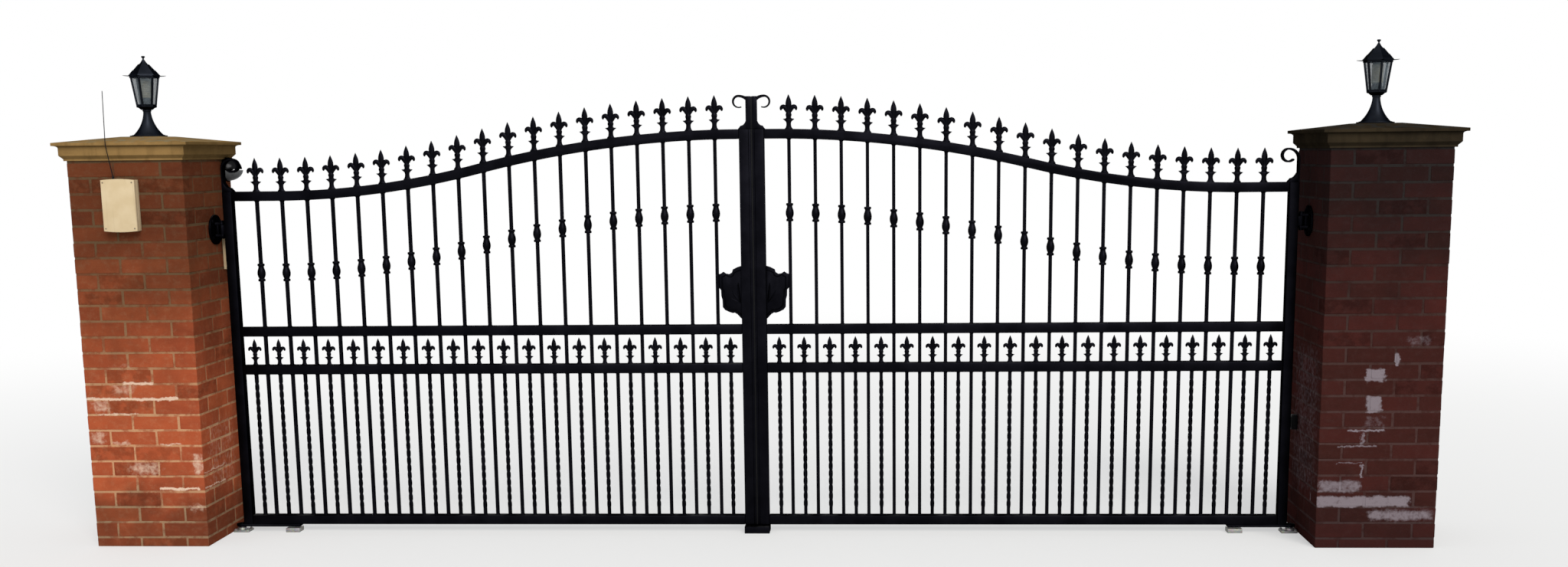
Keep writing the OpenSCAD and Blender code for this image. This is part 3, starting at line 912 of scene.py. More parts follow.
def cast(section: Section, stations: Sequence[Sequence[float]]) -> Mesh:
    """A bar or casting whose middle line lies in the X-Z plane.

    Args:
        section: Its outline.
        stations: X, Z, half width across the line and half depth at each point, in millimetres.

    Returns:
        The closed solid.
    """
    points = [Vector((x, 0.0, z)) / 1000 for x, z, _, _ in stations]
    frames = []
    for i, (_, _, wide, deep) in enumerate(stations):
        along = (points[min(i + 1, len(points) - 1)] - points[max(i - 1, 0)]).normalized()
        across = Vector((0, 1, 0)).cross(along) * wide / 1000
        p = points[i]
        rows = [(across[k], (0.0, deep / 1000, 0.0)[k], along[k], p[k]) for k in range(3)]
        frames.append(Matrix((*rows, (0.0, 0.0, 0.0, 1.0))))
    return drawn(section.value, frames)


def eased(stations: Sequence[Sequence[float]]) -> list[tuple[float, ...]]:
    """Adds a station between each two, on a smooth curve through them.

    Args:
        stations: Rows of numbers, four or more.

    Returns:
        The old and the new rows.
    """
    rows: list[tuple[float, ...]] = []
    last = len(stations) - 1
    for i in range(last):
        around = zip(stations[max(i - 1, 0)], stations[i], stations[i + 1], stations[min(i + 2, last)])
        rows += [tuple(stations[i]), tuple((9 * (b + c) - a - d) / 16 for a, b, c, d in around)]
    return [*rows, tuple(stations[last])]


def plate(outline: Sequence[Point], depth: float, edge: float, segments: int = 2) -> Mesh:
    """A plate that stands in the X-Z plane, centred on it, with rounded edges.

    Args:
        outline: Its corners in order, X and Z in millimetres.
        depth: Its thickness in millimetres.
        edge: Radius of its edges in millimetres.
        segments: Steps of the rounding.

    Returns:
        The plate.
    """
    part = bmesh.new()
    face = part.faces.new([part.verts.new((x / 1000, -depth / 2000, z / 1000)) for x, z in outline])
    made = bmesh.ops.extrude_face_region(part, geom=[face])["geom"]
    moved = [g for g in made if isinstance(g, bmesh.types.BMVert)]
    bmesh.ops.translate(part, vec=(0, depth / 1000, 0), verts=moved)
    bmesh.ops.recalc_face_normals(part, faces=part.faces)
    if edge:
        rims = [e for e in part.edges if abs(e.verts[0].co.y - e.verts[1].co.y) < 1e-6]
        round_edges(part, rims, edge / 1000, segments)
    return part


def arc(x: float, z: float, radius: float, start: float, end: float, step: float = 8.0) -> list[Point]:
    """Points of an arc in the X-Z plane.

    Args:
        x: X of its centre, in millimetres.
        z: Z of its centre.
        radius: Its radius.
        start: Angle of its first point, in degrees.
        end: Angle of its last point.
        step: Largest angle between two points.

    Returns:
        The points.
    """
    count = math.ceil(abs(end - start) / step)
    angles = [math.radians(start + (end - start) * i / count) for i in range(count + 1)]
    return [(x + radius * math.cos(a), z + radius * math.sin(a)) for a in angles]


def at(x: float = 0.0, y: float = 0.0, z: float = 0.0) -> Matrix:
    """A move."""
    return Matrix.Translation((x, y, z))


def turn(degrees: float, axis: str) -> Matrix:
    """A turn about one of the axes."""
    return Matrix.Rotation(math.radians(degrees), 4, axis)


def grow(factor: float) -> Matrix:
    """A change of size about the origin."""
    return Matrix.Diagonal((factor, factor, factor, 1.0))


# Piers


@dataclass
class BrickPier:
    """One square pier, two and a half bricks wide, laid in a pinwheel bond that reverses at each course.

    Attributes:
        palette: The finishes.
        side: The side of the drive that it is on.
        edge: X of its face beside the drive.
        width: Side of the pier.
        front: Y of its front face.
        top: Height of the brickwork.
        brick: Length, width and height of a brick.
        joint: Width of a joint.
        recess: How far the mortar lies behind the bricks.
        sunk: How far a brick may lie behind the pier's face.
        slack: The least and the most that a brick is longer at each end.
        skew: How far its corners may be out of true.
        arris: Rounding of its edges.
    """

    palette: Palette
    side: Side
    edge: float = PIER_EDGE
    width: float = 0.552
    front: float = PIER_FRONT
    top: float = 1.85
    brick: tuple[float, float, float] = (0.215, 0.1025, 0.065)
    joint: float = 0.01
    recess: float = 0.003
    sunk: float = 0.0012
    slack: Point = (0.0002, 0.0013)
    skew: float = 0.0014
    arris: float = 0.0024

    def course(self, k: int) -> list[tuple[float, float, float, float]]:
        """The bricks of one course.

        Args:
            k: The course, counted down from the cap.

        Returns:
            For each brick its limits from the drive outwards and from front to back.
        """
        length, thick, _ = self.brick
        s = self.width
        pattern = [(0.0, 0.0, thick, length), (0.0, length + self.joint, thick, 2 * length + self.joint)]
        bricks = []
        for _ in range(4):
            bricks += pattern
            pattern = [(v0, s - u1, v1, s - u0) for u0, v0, u1, v1 in pattern]
        return bricks if k % 2 == 0 else [(v0, u0, v1, u1) for u0, v0, u1, v1 in bricks]

    def build(self) -> None:
        """Builds the brickwork in place of the plain pier."""
        rnd = random.Random(SEEDS[self.side])
        shape = Shape()
        pitch = self.brick[2] + self.joint
        for k in range(math.ceil(self.top / pitch)):
            high = self.top - self.joint - k * pitch
            low = max(0.0, high - self.brick[2])
            if high - low < self.joint:
                continue
            for u0, v0, u1, v1 in self.course(k):
                self.lay(shape, (u0, v0, low), (u1, v1, high), rnd)
        near, far = self.recess, self.width - self.recess
        core = softened_block((near, near, 0.0), (far, far, self.top), 0.0)
        shape.add(core, self.place(), slot=1, tone=0.5)
        word = self.side.word
        shape.finish(word + "_brickwork", "posts", "brick", self.palette.brickwork[self.side], word + "_pier")

    def place(self) -> Matrix:
        """From the pier's own corner, outwards and back, to the model's frame."""
        return self.side.mirror @ at(self.edge, self.front)

    def lay(self, shape: Shape, low: Sequence[float], high: Sequence[float], rnd: random.Random) -> None:
        """Lays one brick, a little out of true and never proud of the face.

        Args:
            shape: The brickwork.
            low: The brick's lowest corner in the pier.
            high: Its highest corner.
            rnd: The pier's random numbers.
        """
        sink, limits = rnd.uniform(0.0, self.sunk), (self.width, self.width, self.top)
        slack = [rnd.uniform(*self.slack) for _ in range(3)]
        inner = [max(a - slack[i], sink if i < 2 else 0.0) for i, a in enumerate(low)]
        outer = [min(b + slack[i], limits[i] - sink) for i, b in enumerate(high)]
        brick = softened_block(inner, outer, 0.0)
        for vert in brick.verts:
            for i, (a, b) in enumerate(zip(inner, outer)):
                vert.co[i] += rnd.uniform(0.0, self.skew) * (1 if vert.co[i] < (a + b) / 2 else -1)
        round_edges(brick, brick.edges, self.arris, 1)
        shape.add(brick, self.place(), tone=rnd.random())


@dataclass
class Caps:
    """The moulded caps of both piers.

    Attributes:
        palette: The finishes.
        edge: Rounding of their arrises.
    """

    palette: Palette
    edge: float = 0.0035

    def build(self) -> None:
        """Builds the caps, each in its own stone."""
        caps = Shape(from_node("pier_caps", self.edge, 3, 15.0))
        for face in caps.mesh.faces:
            face.material_index = 0 if face.calc_center_median().x < 0 else 1
        caps.finish("stone_caps", "posts", "cap_stone", self.palette.stone, "pier_caps", sharp=50)


@dataclass
class Lanterns:
    """The six-sided lanterns on the caps, one corner to the front. Heights are above the cap, in millimetres.

    Attributes:
        palette: The finishes.
        middle: X and Y of the right lantern's axis, in metres.
        cap: Height of the cap's top, in metres.
        foot: Radius of the foot.
        cove: Height of the flared foot.
        neck: Radius of the neck.
        sill: Height of the panes' lower edge.
        eaves: Height of the brim's underside.
        narrow: Radius over the corners of the cage at the sill.
        wide: Radius over the corners of the cage at the eaves.
        brim: Radius over the tips of the brim.
    """

    palette: Palette
    middle: Point = (2.916, -0.039)
    cap: float = 1.962
    foot: float = 85.0
    cove: float = 127.0
    neck: float = 17.0
    sill: float = 147.0
    eaves: float = 285.0
    narrow: float = 45.0
    wide: float = 65.0
    brim: float = 97.0

    def places(self, lift: float = 0.0, six_sided: bool = False) -> list[Matrix]:
        """Where a part of the lantern stands on each pier.

        Args:
            lift: Its height above the cap, in millimetres.
            six_sided: Whether it is turned with a corner to the front.

        Returns:
            A matrix for each lantern.
        """
        x, y = self.middle
        square = turn(30 if six_sided else 0, "Z")
        return [at(side.value * x, y, self.cap + lift / 1000) @ square for side in Side]

    def sixfold(self, places: Sequence[Matrix]) -> list[Matrix]:
        """Every place, turned to each of the six corners."""
        return [place @ turn(60 * i, "Z") for place in places for i in range(6)]

    def base(self) -> Shape:
        """The flared foot: a flange with a bead, a cove and a collar under the cage."""
        neck = self.neck
        reach = self.foot - 14 - neck
        rise = self.cove - 5
        hollow = (reach**2 + rise**2) / (2 * reach)
        heights = range(2, int(rise) - 8, 6)
        cove = [(neck + hollow - math.sqrt(hollow**2 - (rise - z) ** 2), 5 + z) for z in heights]
        foot = self.foot
        flange = [(0.0, 0.0), (foot - 1, 0.0), (foot, 1.2), (foot, 4.0), (foot - 1.5, 5.2)]
        bead = [(foot - 10, 5.6), (foot - 11.5, 8.0)]
        collar = [(neck + 0.6, 119), (neck + 3, 120.5), (neck + 3.4, 123), (neck + 2.4, 127), (0.0, 127)]
        shape = Shape()
        shape.add(lathe(flange + bead + cove + collar, 48), *self.places())
        return shape

    def cage(self) -> Shape:
        """The stepped pan, the six flared posts and the ring that carries the roof."""
        shape = Shape()
        places = self.places(six_sided=True)
        cove, sill, eaves = self.cove, self.sill, self.eaves
        rim = self.narrow + 1
        pan = [(0.0, cove), (self.neck + 9, cove), (self.neck + 12, cove + 3), (rim - 13, cove + 6)]
        pan += [(rim - 9, cove + 9.5), (rim - 2, cove + 11.5), (rim, cove + 14), (rim, sill - 1.5)]
        shape.add(lathe(pan + [(rim - 2, sill), (0.0, sill)], 6), *places)
        post = [(self.narrow - 4, sill - 4, 4.2, 4.2), (self.wide - 4, eaves - 5, 4.2, 4.2)]
        shape.add(cast(Section.SQUARE, post), *self.sixfold(places))
        top = self.wide + 3
        ring = [(top - 13, eaves), (top - 13, eaves - 8), (top - 1, eaves - 8), (top, eaves - 7)]
        shape.add(lathe(ring + [(top, eaves), (top - 13, eaves)], 6), *places)
        foot = self.narrow - 1
        strip = [(foot - 7, sill), (foot - 1, sill), (foot, sill + 5), (foot - 2, sill + 6)]
        shape.add(lathe(strip + [(foot - 8, sill + 5), (foot - 7, sill)], 6), *places)
        return shape

    def roof(self) -> Shape:
        """The horned brim, three hollow-sided tiers and the knob."""
        shape = Shape()
        rim = self.wide + 10
        corners = [math.radians(60 * i) for i in range(6)]
        brim = plate([(rim * math.cos(a), rim * math.sin(a)) for a in corners], 3.0, 0.9)
        shape.add(brim, *(place @ turn(90, "X") for place in self.places(self.eaves + 1.5, six_sided=True)))
        horn = [(rim - 16, 1.5, 1.4, 9), (rim - 5, 1.6, 2.2, 8.4), (rim + 4, 2.0, 1.9, 4.6)]
        horn += [(rim + 13, 2.6, 1.5, 2.6), (self.brim, 3.6, 0.7, 0.8)]
        places = self.places(self.eaves, six_sided=True)
        shape.add(cast(Section.ROUND, eased(horn)), *self.sixfold(places))
        tiers = [(0.0, 2), (72, 2), (71.5, 4.5), (62.5, 15), (52.5, 27), (51.2, 28.8), (48.5, 29.4)]
        tiers += [(37.5, 42), (28, 53), (25.4, 56.4), (20, 57.6), (13, 65), (6.5, 76), (5, 79.5), (0.0, 79.5)]
        shape.add(lathe(tiers, 6), *places)
        knob = [(0.0, 76), (3.6, 76), (3.4, 84), (4.8, 85), (4.8, 87), (7.5, 88), (8.9, 91), (8.2, 94)]
        shape.add(lathe(knob + [(5.6, 96), (0, 96)], 20), *self.places(self.eaves))
        return shape

    def lamp(self) -> Shape:
        """The opal lamp, ribbed round, and its dark holder."""
        shape = Shape()
        places = self.places(self.sill)
        holder = [(0.0, 0), (24, 0), (24, 24), (22, 27), (22, 33), (18, 38), (0.0, 38)]
        shape.add(lathe(holder, 24), *places, slot=1)
        ribs = [(0.0, 34.0), (21.0, 35.0)]
        for i in range(9):
            z = 37.0 + 9.2 * i
            ribs += [(24.6, z), (26.0, z + 2.6), (26.0, z + 6.2)]
        ribs += [(25.4, 119.5), (20, 125.0), (11, 127.4), (0.0, 128.0)]
        shape.add(lathe(ribs, 24), *places)
        return shape

    def build(self) -> None:
        """Builds both lanterns."""
        iron = (self.palette.lantern_iron,)
        self.base().finish("iron_bases", "posts", "black_iron", iron, "lantern_bases")
        self.cage().finish("iron_cages", "posts", "black_iron", iron, "lantern_cages")
        self.roof().finish("iron_roofs", "posts", "black_iron", iron, "lantern_roofs", sharp=30)
        panes = Shape(from_node("lantern_glass"))
        panes.finish("panes", "posts", "lantern_glass", (self.palette.pane,), "lantern_glass")
        lamp = (self.palette.bulb, self.palette.rubber)
        self.lamp().finish("lamps", "posts", "white_plastic", lamp, "lantern_bulbs")


# Leaves


@dataclass(frozen=True)
class Finial:
    """A cast fleur-de-lis, 162 mm high. Stations are X, Z, half width and half depth, in millimetres.

    Attributes:
        spear: The foot, the horned cup, the knop and the spear, from below the rail's top to the tip, on X 0.
        petal: One of the two curled petals.
    """

    spear: tuple[tuple[float, float, float], ...] = (
        (-9, 19.4, 8), (0, 19.4, 8), (2, 18.6, 7.8), (5, 15.6, 7), (9, 13.2, 6.6), (15, 11.8, 6.2),
        (22, 11.2, 6.2), (28, 11.4, 6.2), (33, 13, 6.2), (37, 16.4, 6), (41, 21, 5.2), (44.5, 25.4, 4.2),
        (47, 27.4, 3.2), (47.6, 24, 3.8), (48.4, 18, 4.8), (49.8, 13.8, 5.8), (53, 12, 6.2), (58, 12.4, 7.2),
        (63, 14.2, 8.4), (69, 14.4, 8.4), (73, 12.6, 7.6), (76.5, 10.4, 6), (82, 9.8, 5.4), (90, 11.4, 5.8),
        (100, 13, 6.6), (108, 14, 7.1), (117, 14.4, 7.2), (126, 13.6, 6.8), (136, 11.2, 5.8), (146, 7.4, 4.3),
        (155, 3.6, 2.5), (161.5, 0.7, 0.7),
    )
    petal: tuple[tuple[float, float, float, float], ...] = (
        (4.5, 74, 6, 4.4), (8, 84, 8.4, 5.4), (12.4, 93.5, 10.4, 6.4), (18, 101, 11, 7),
        (24.6, 104.2, 10.8, 7.2), (30.4, 102.6, 10, 7), (34.2, 98.4, 8.4, 6.4), (35.6, 93.8, 6.6, 5.6),
        (35, 90, 4.8, 4.4), (33.6, 87.6, 1.8, 2),
    )

    def build(self) -> Mesh:
        """Builds one finial with its foot on the origin."""
        shape = Shape(cast(Section.RIDGED, [(0.0, z, wide, deep) for z, wide, deep in self.spear]))
        shape.add(cast(Section.ROUND, eased(self.petal)), *(side.mirror for side in reversed(Side)))
        return shape.mesh


@dataclass
class Leaf:
    """One leaf of the gate, in millimetres, drawn on the right of the drive and mirrored for the left.

    Attributes:
        palette: The finishes.
        side: The side of the drive that it hangs on.
        tube: Side of the box sections.
        bar: Side of a bar.
        bars: Number of plain bars.
        first: X of the meeting stile's far face.
        hang: X of the hanging stile's near face.
        end: From a stile's face to the nearest plain bar's middle.
        low: Height of the top rail beside the pier.
        high: Height of the top rail where the leaves meet.
        flats: Level length of the top rail at its high and at its low end.
        share: Share of the curve that its upper arc takes.
        upper: Top of the upper middle rail.
        lower: Top of the lower middle rail.
        sill: Top of the bottom rail.
        drop: From the top rail down to a collar's middle.
        twist: Length of a bar's twist for a whole turn.
        plain: Plain length at each end of a twisted bar.
    """

    palette: Palette
    side: Side
    tube: float = 46.0
    bar: float = 16.0
    bars: int = 19
    first: float = 60.0
    hang: float = 2539.0
    end: float = 117.5
    low: float = 1694.0
    high: float = 1967.0
    flats: tuple[float, float] = (15.0, 217.0)
    share: float = 0.56
    upper: float = 1032.0
    lower: float = 843.0
    sill: float = 86.0
    drop: float = 394.0
    twist: float = 146.0
    plain: float = 38.0

    def node(self, name: str) -> str:
        """A node's full name on this leaf."""
        return self.side.word + "_" + name

    def spot(self, x: float = 0.0, z: float = 0.0) -> Matrix:
        """A place on this leaf, from X and Z on the right side of the drive, in millimetres."""
        return self.side.mirror @ at(x / 1000, 0, z / 1000)

    def plain_bars(self) -> list[float]:
        """X of every plain bar."""
        pitch = (self.hang - self.first - 2 * self.end) / (self.bars - 1)
        return [self.first + self.end + pitch * i for i in range(self.bars)]

    def twisted_bars(self) -> list[float]:
        """X of every twisted bar."""
        plain = self.plain_bars()
        between = [(a + b) / 2 for a, b in zip(plain, plain[1:])]
        return [self.first + self.end / 2, *between, self.hang - self.end / 2]

    def rail_top(self, x: float) -> float:
        """Height of the top rail's upper face: two arcs that are tangent to each other and to its level ends.

        Args:
            x: A place along the rail.

        Returns:
            The height there.
        """
        start, end = self.first + self.flats[0], self.hang - self.flats[1]
        run = end - start
        middle = start + self.share * run
        angle = 2 * math.atan((self.high - self.low) / run)
        above, below = (middle - start) / math.sin(angle), (end - middle) / math.sin(angle)
        if x <= middle:
            return self.high - above + math.sqrt(above**2 - max(0.0, x - start) ** 2)
        return self.low + below - math.sqrt(below**2 - max(0.0, end - x) ** 2)

    def finish(self, shape: Shape, name: str, sharp: float = 38.0) -> None:
        """Stands a shape in for one node."""
        body, iron = self.side.leaf, (self.palette.iron,)
        shape.finish(self.node("iron_" + name), body, "black_iron", iron, self.node(name), sharp=sharp)

    def rounded(self, name: str, width: float, segments: int = 2) -> None:
        """Stands a rounded copy in for one node."""
        self.finish(Shape(from_node(self.node(name), width, segments)), name)

    def bead(self) -> Mesh:
        """The weld round a bar's foot, standing on the origin."""
        rows = ((-1, 4.5), (0.6, 3.6), (2.2, 1.4), (4.6, 0.2))
        return cast(Section.SQUARE, [(0, z, self.bar / 2 + proud, self.bar / 2 + proud) for z, proud in rows])

    def collar(self) -> Mesh:
        """A bar's collar, about its middle: a barrel between two rings."""
        ring = [(13, 31), (15.8, 32.4), (17, 35), (17, 40), (15.6, 42.8), (11.6, 43.5)]
        barrel = [(12.8, -29), (14.2, -25), (17, -19), (18.8, -12), (19.4, -5), (19.2, 1), (18, 8), (16, 15)]
        barrel += [(14, 21), (12.8, 26)]
        return lathe([(0.0, -43.5), *[(r, -z) for r, z in reversed(ring)], *barrel, *ring, (0.0, 43.5)], 20)

    def build_bars(self) -> None:
        """Builds the plain bars in their three lengths, their collars and the welds at the rails."""
        shape = Shape()
        half, bars = self.bar / 2, self.plain_bars()
        for low, high in ((self.sill, self.lower - self.tube), (self.lower, self.upper - self.tube)):
            length = cast(Section.SQUARE, [(0, low - 1, half, half), (0, high + 1, half, half)])
            shape.add(length, *(self.spot(x) for x in bars))
        for x in bars:
            ends = (self.upper - 1, self.rail_top(x) - self.tube - 2)
            shape.add(cast(Section.SQUARE, [(x, z, half, half) for z in ends]), self.spot())
        welds = [self.spot(x, z) for x in bars for z in (self.sill, self.lower, self.upper)]
        over = turn(180, "X")
        welds += [self.spot(x, z - self.tube) @ over for x in bars for z in (self.lower, self.upper)]
        for x in bars:
            slope = math.atan((self.rail_top(x + 5) - self.rail_top(x - 5)) / 10)
            under = self.rail_top(x) - self.tube / math.cos(slope)
            welds.append(self.spot(x, under) @ turn(-math.degrees(slope), "Y") @ over)
        shape.add(self.bead(), *welds)
        shape.add(self.collar(), *(self.spot(x, self.rail_top(x) - self.drop) for x in bars))
        self.finish(shape, "bars")

    def build_twisted(self) -> None:
        """Builds the twisted bars, in whole quarters of a turn, with their welds."""
        shape = Shape()
        span = self.lower - self.tube - self.sill
        length = span - 2 * self.plain
        turns = 90.0 * round(4 * length / self.twist)
        steps = math.ceil(turns / 15)
        heights = [(self.plain + length * i / steps, turns * i / steps) for i in range(steps + 1)]
        heights = [(-1.0, 0.0), *heights, (span + 1, turns)]
        frames = [at(z=z / 1000) @ turn(a, "Z") @ grow(self.bar / 2000) for z, a in heights]
        places = [self.spot(x, self.sill) for x in self.twisted_bars()]
        shape.add(drawn(Section.SQUARE.value, frames), *places)
        tops = [place @ at(z=span / 1000) @ turn(180, "X") for place in places]
        shape.add(self.bead(), *places, *tops)
        self.finish(shape, "twisted_bars", sharp=60)

    def build_finials(self) -> None:
        """Builds the large finials on the top rail and the small ones on the lower middle rail."""
        large = [self.spot(x, self.rail_top(x)) for x in self.plain_bars()]
        small = [self.spot(x, self.lower) @ grow(0.8) for x in self.twisted_bars()]
        for name, places in (("finials", large), ("small_finials", small)):
            shape = Shape()
            shape.add(Finial().build(), *places)
            self.finish(shape, name, sharp=48)

    def meeting_scroll(self) -> Shape:
        """The upright over the meeting stile, with the scroll that curls over it and a gusset at its foot."""
        shape = Shape()
        near, far, deep, top, axis = 3.0, 27.0, 12.5, 161.0, 60.0
        low = (near / 1000, -deep / 1000, self.high / 1000 - 0.001)
        high = (far / 1000, deep / 1000, (self.high + 154) / 1000)
        shape.add(softened_block(low, high, 0.002), self.spot())
        path = [(122 - 8 * i, 75, 7.6 - 0.6 * i) for i in range(4)]
        path += [(90 - 205 * i / 38, 31, 5.4 - 2.8 * i / 38) for i in range(39)]
        curl = []
        for degrees, radius, thin in path:
            angle, arm = math.radians(degrees), radius - thin
            level = self.high + top - radius
            curl.append((axis + arm * math.cos(angle), level + arm * math.sin(angle), thin, deep))
        shape.add(cast(Section.SQUARE, curl), self.spot())
        gusset = [(-1, -1), (-1, 38), (0.6, 37), (4, 30), (10, 22.5), (17, 17.5), (24, 16.5), (27, 14)]
        gusset = [(far + a, self.high + b) for a, b in gusset + [(32, 7), (39, -1)]]
        shape.add(plate(gusset, 2 * deep, 1.2), self.spot())
        return shape

    def hanging_scroll(self) -> Shape:
        """The strap that rises from the hanging stile and curls inwards, with a gusset at its foot."""
        shape = Shape()
        edge, rise, strap, outer, inner = self.hang + self.tube, self.low + 107, 4.5, 52.0, 34.0
        curl = [(edge - strap, self.low - 1)]
        curl += arc(edge - outer, rise, outer - strap, 0, 90)
        curl += arc(edge - outer, rise + outer - inner, inner - strap, 90, 320)[1:]
        tip = curl.pop()
        path = [(x, z, strap, 20.0) for x, z in curl]
        shape.add(cast(Section.SQUARE, path + [(*tip, strap * 0.8, 19.0)]), self.spot())
        gusset = [(1, -1), (1, 44), (-1, 42), (-5, 35), (-13, 25), (-21, 19), (-29, 17.5), (-32, 15)]
        gusset = [(edge - 2 * strap + a, self.low + b) for a, b in gusset + [(-38, 8), (-46, -1)]]
        shape.add(plate(gusset, 40.0, 1.2), self.spot())
        return shape

    def crest(self) -> Shape:
        """Half of the shield: a plate with a raised border and a fan of three leaves."""
        wide, high = 109.5, 264.0
        middle = self.upper + 23 + high / 2
        shares = (
            (0, 0.49), (0.19, 0.465), (0.38, 0.425), (0.42, 0.37), (0.54, 0.34), (0.68, 0.35), (0.8, 0.385),
            (0.91, 0.35), (0.998, 0.34), (0.998, 0.085), (0.92, 0.05), (0.91, -0.06), (0.86, -0.13),
            (0.85, -0.265), (0.76, -0.315), (0.57, -0.355), (0.42, -0.375), (0.32, -0.37), (0.2, -0.4),
            (0.07, -0.46), (0, -0.49),
        )
        outline = [(self.first + wide * a, middle + high * b) for a, b in shares]
        shape = Shape()
        shape.add(plate(outline, 8.0, 1.6), self.spot())
        border = [(self.first + wide * a * 0.86, middle + high * b * 0.86, 3.6, 7.5) for a, b in shares]
        shape.add(cast(Section.ROUND, border), self.spot())
        leaf = [(0, 0, 2, 5), (1.5, 14, 6.5, 6.5), (4, 34, 10, 7.5), (5.5, 60, 10.5, 7.5), (4.5, 84, 7, 6.4)]
        for lean, size in ((4, 1.05), (30, 0.84), (56, 0.66)):
            fanned = self.spot(self.first + 6, middle - 52) @ turn(lean, "Y") @ grow(size)
            shape.add(cast(Section.RIDGED, leaf + [(2, 104, 1, 3)]), fanned)
        return shape

    def build_lip(self) -> None:
        """Builds the black rubber lip along the closing strip, which nearly fills the leaves' gap."""
        lip = Shape()
        near, far, high = 0.0003, 0.0036, self.high / 1000
        for half, low, top in ((0.0165, 0.04, high), (0.0115, high - 0.01, high + 0.153)):
            lip.add(softened_block((near, -half, low), (far, half, top), 0.0008), self.spot())
        lip.finish(self.node("rubber_lip"), self.side.leaf, "black_plastic", (self.palette.rubber,))

    def build(self) -> None:
        """Builds every piece of the leaf."""
        for name in ("hanging_stile", "meeting_stile", "top_rail", "middle_rails", "bottom_rail"):
            self.rounded(name, 0.004, 3)
        for name in ("hinge_eye", "drive_shoe"):
            self.rounded(name, 0.0012)
        self.build_bars()
        self.build_twisted()
        self.build_finials()
        self.finish(self.meeting_scroll(), "meeting_scroll")
        self.finish(self.hanging_scroll(), "hanging_scroll")
        self.finish(self.crest(), "crest")
        self.build_lip()

# Fittings


@dataclass
class ControlBox:
    """The cream box on the left pier, in millimetres from the middle of its underside on the brickwork.

    Attributes:
        palette: The finishes.
        place: X, Y and Z of that point.
        width: Width of the lid.
        height: Height of the lid.
        depth: Depth over all.
        lid: Thickness of the lid.
        bow: How far the lid's top and bottom edges curve.
        mast: Length of the whip aerial.
    """

    palette: Palette
    place: tuple[float, float, float] = (-2931.0, -315.0, 1519.0)
    width: float = 160.0
    height: float = 247.0
    depth: float = 52.0
    lid: float = 16.0
    bow: float = 5.0
    mast: float = 410.0

    def here(self, x: float = 0.0, y: float = 0.0, z: float = 0.0) -> Matrix:
        """A place on the box."""
        return at((self.place[0] + x) / 1000, (self.place[1] + y) / 1000, (self.place[2] + z) / 1000)

    def build(self) -> None:
        """Builds the body, the lid with its screws, and the aerial."""
        shape = Shape()
        w, h, face = self.width / 2, self.height, -self.depth
        body = ((-w + 3) / 1000, (face + self.lid - 2) / 1000, 0.005), ((w - 3) / 1000, 0.0, (h - 5) / 1000)
        shape.add(softened_block(*body, 0.002), self.here())
        shares = [2 * i / 10 - 1 for i in range(11)]
        lower = [(w * share, self.bow * share**2) for share in shares]
        outline = lower + [(x, h - z) for x, z in reversed(lower)]
        shape.add(plate(outline, self.lid, 4.0, 3), self.here(0, face + self.lid / 2))
        seal = [(0.985 * x, h / 2 + 0.985 * (z - h / 2)) for x, z in outline]
        shape.add(plate(seal, 1.2, 0.0), self.here(0, face + self.lid + 0.5), slot=1)
        head = lathe([(0.0, 0.0), (3.6, 0.0), (3.6, 0.6), (2.7, 1.2), (0.0, 1.4)], 12)
        corners = [(a * (w - 11), h / 2 + b * (h / 2 - 17)) for a in (-1, 1) for b in (-1, 1)]
        shape.add(head, *(self.here(x, face - 0.2, z) @ turn(90, "X") for x, z in corners), slot=1)
        shape.finish("control_cover", "posts", "cream_plastic", self.palette.cover, "control_box")
        self.aerial()

    def aerial(self) -> None:
        """Builds the whip: a ribbed foot, a part that leans forward past the cap and an upright one."""
        shape = Shape()
        root = self.here(-27, -self.depth + 23, self.height - 5)
        foot = [(0.0, 0), (6, 0), (6, 4), (5.2, 5), (5.2, 7), (5.8, 8), (5.6, 11), (4.2, 14), (2.6, 20)]
        shape.add(lathe(foot + [(0.0, 21)], 16), root)
        bend = root @ at(z=0.008) @ turn(9.6, "X") @ turn(-4.7, "Y")
        knee = bend @ at(z=(0.4 * self.mast - 8) / 1000)
        upright = knee @ turn(-9.6, "X") @ turn(5.9, "Y")
        frames = [bend @ grow(0.0021), knee @ at(z=-0.02) @ grow(0.002)]
        frames += [knee.lerp(upright, share) @ grow(0.002) for share in (0.2, 0.45, 0.75, 1.0)]
        frames.append(upright @ at(z=(0.6 * self.mast - 4) / 1000) @ grow(0.0017))
        frames.append(upright @ at(z=0.6 * self.mast / 1000) @ grow(0.0009))
        shape.add(drawn(Section.ROUND.value, frames))
        shape.finish("whip_aerial", "posts", "black_plastic", (self.palette.rubber,), "aerial")


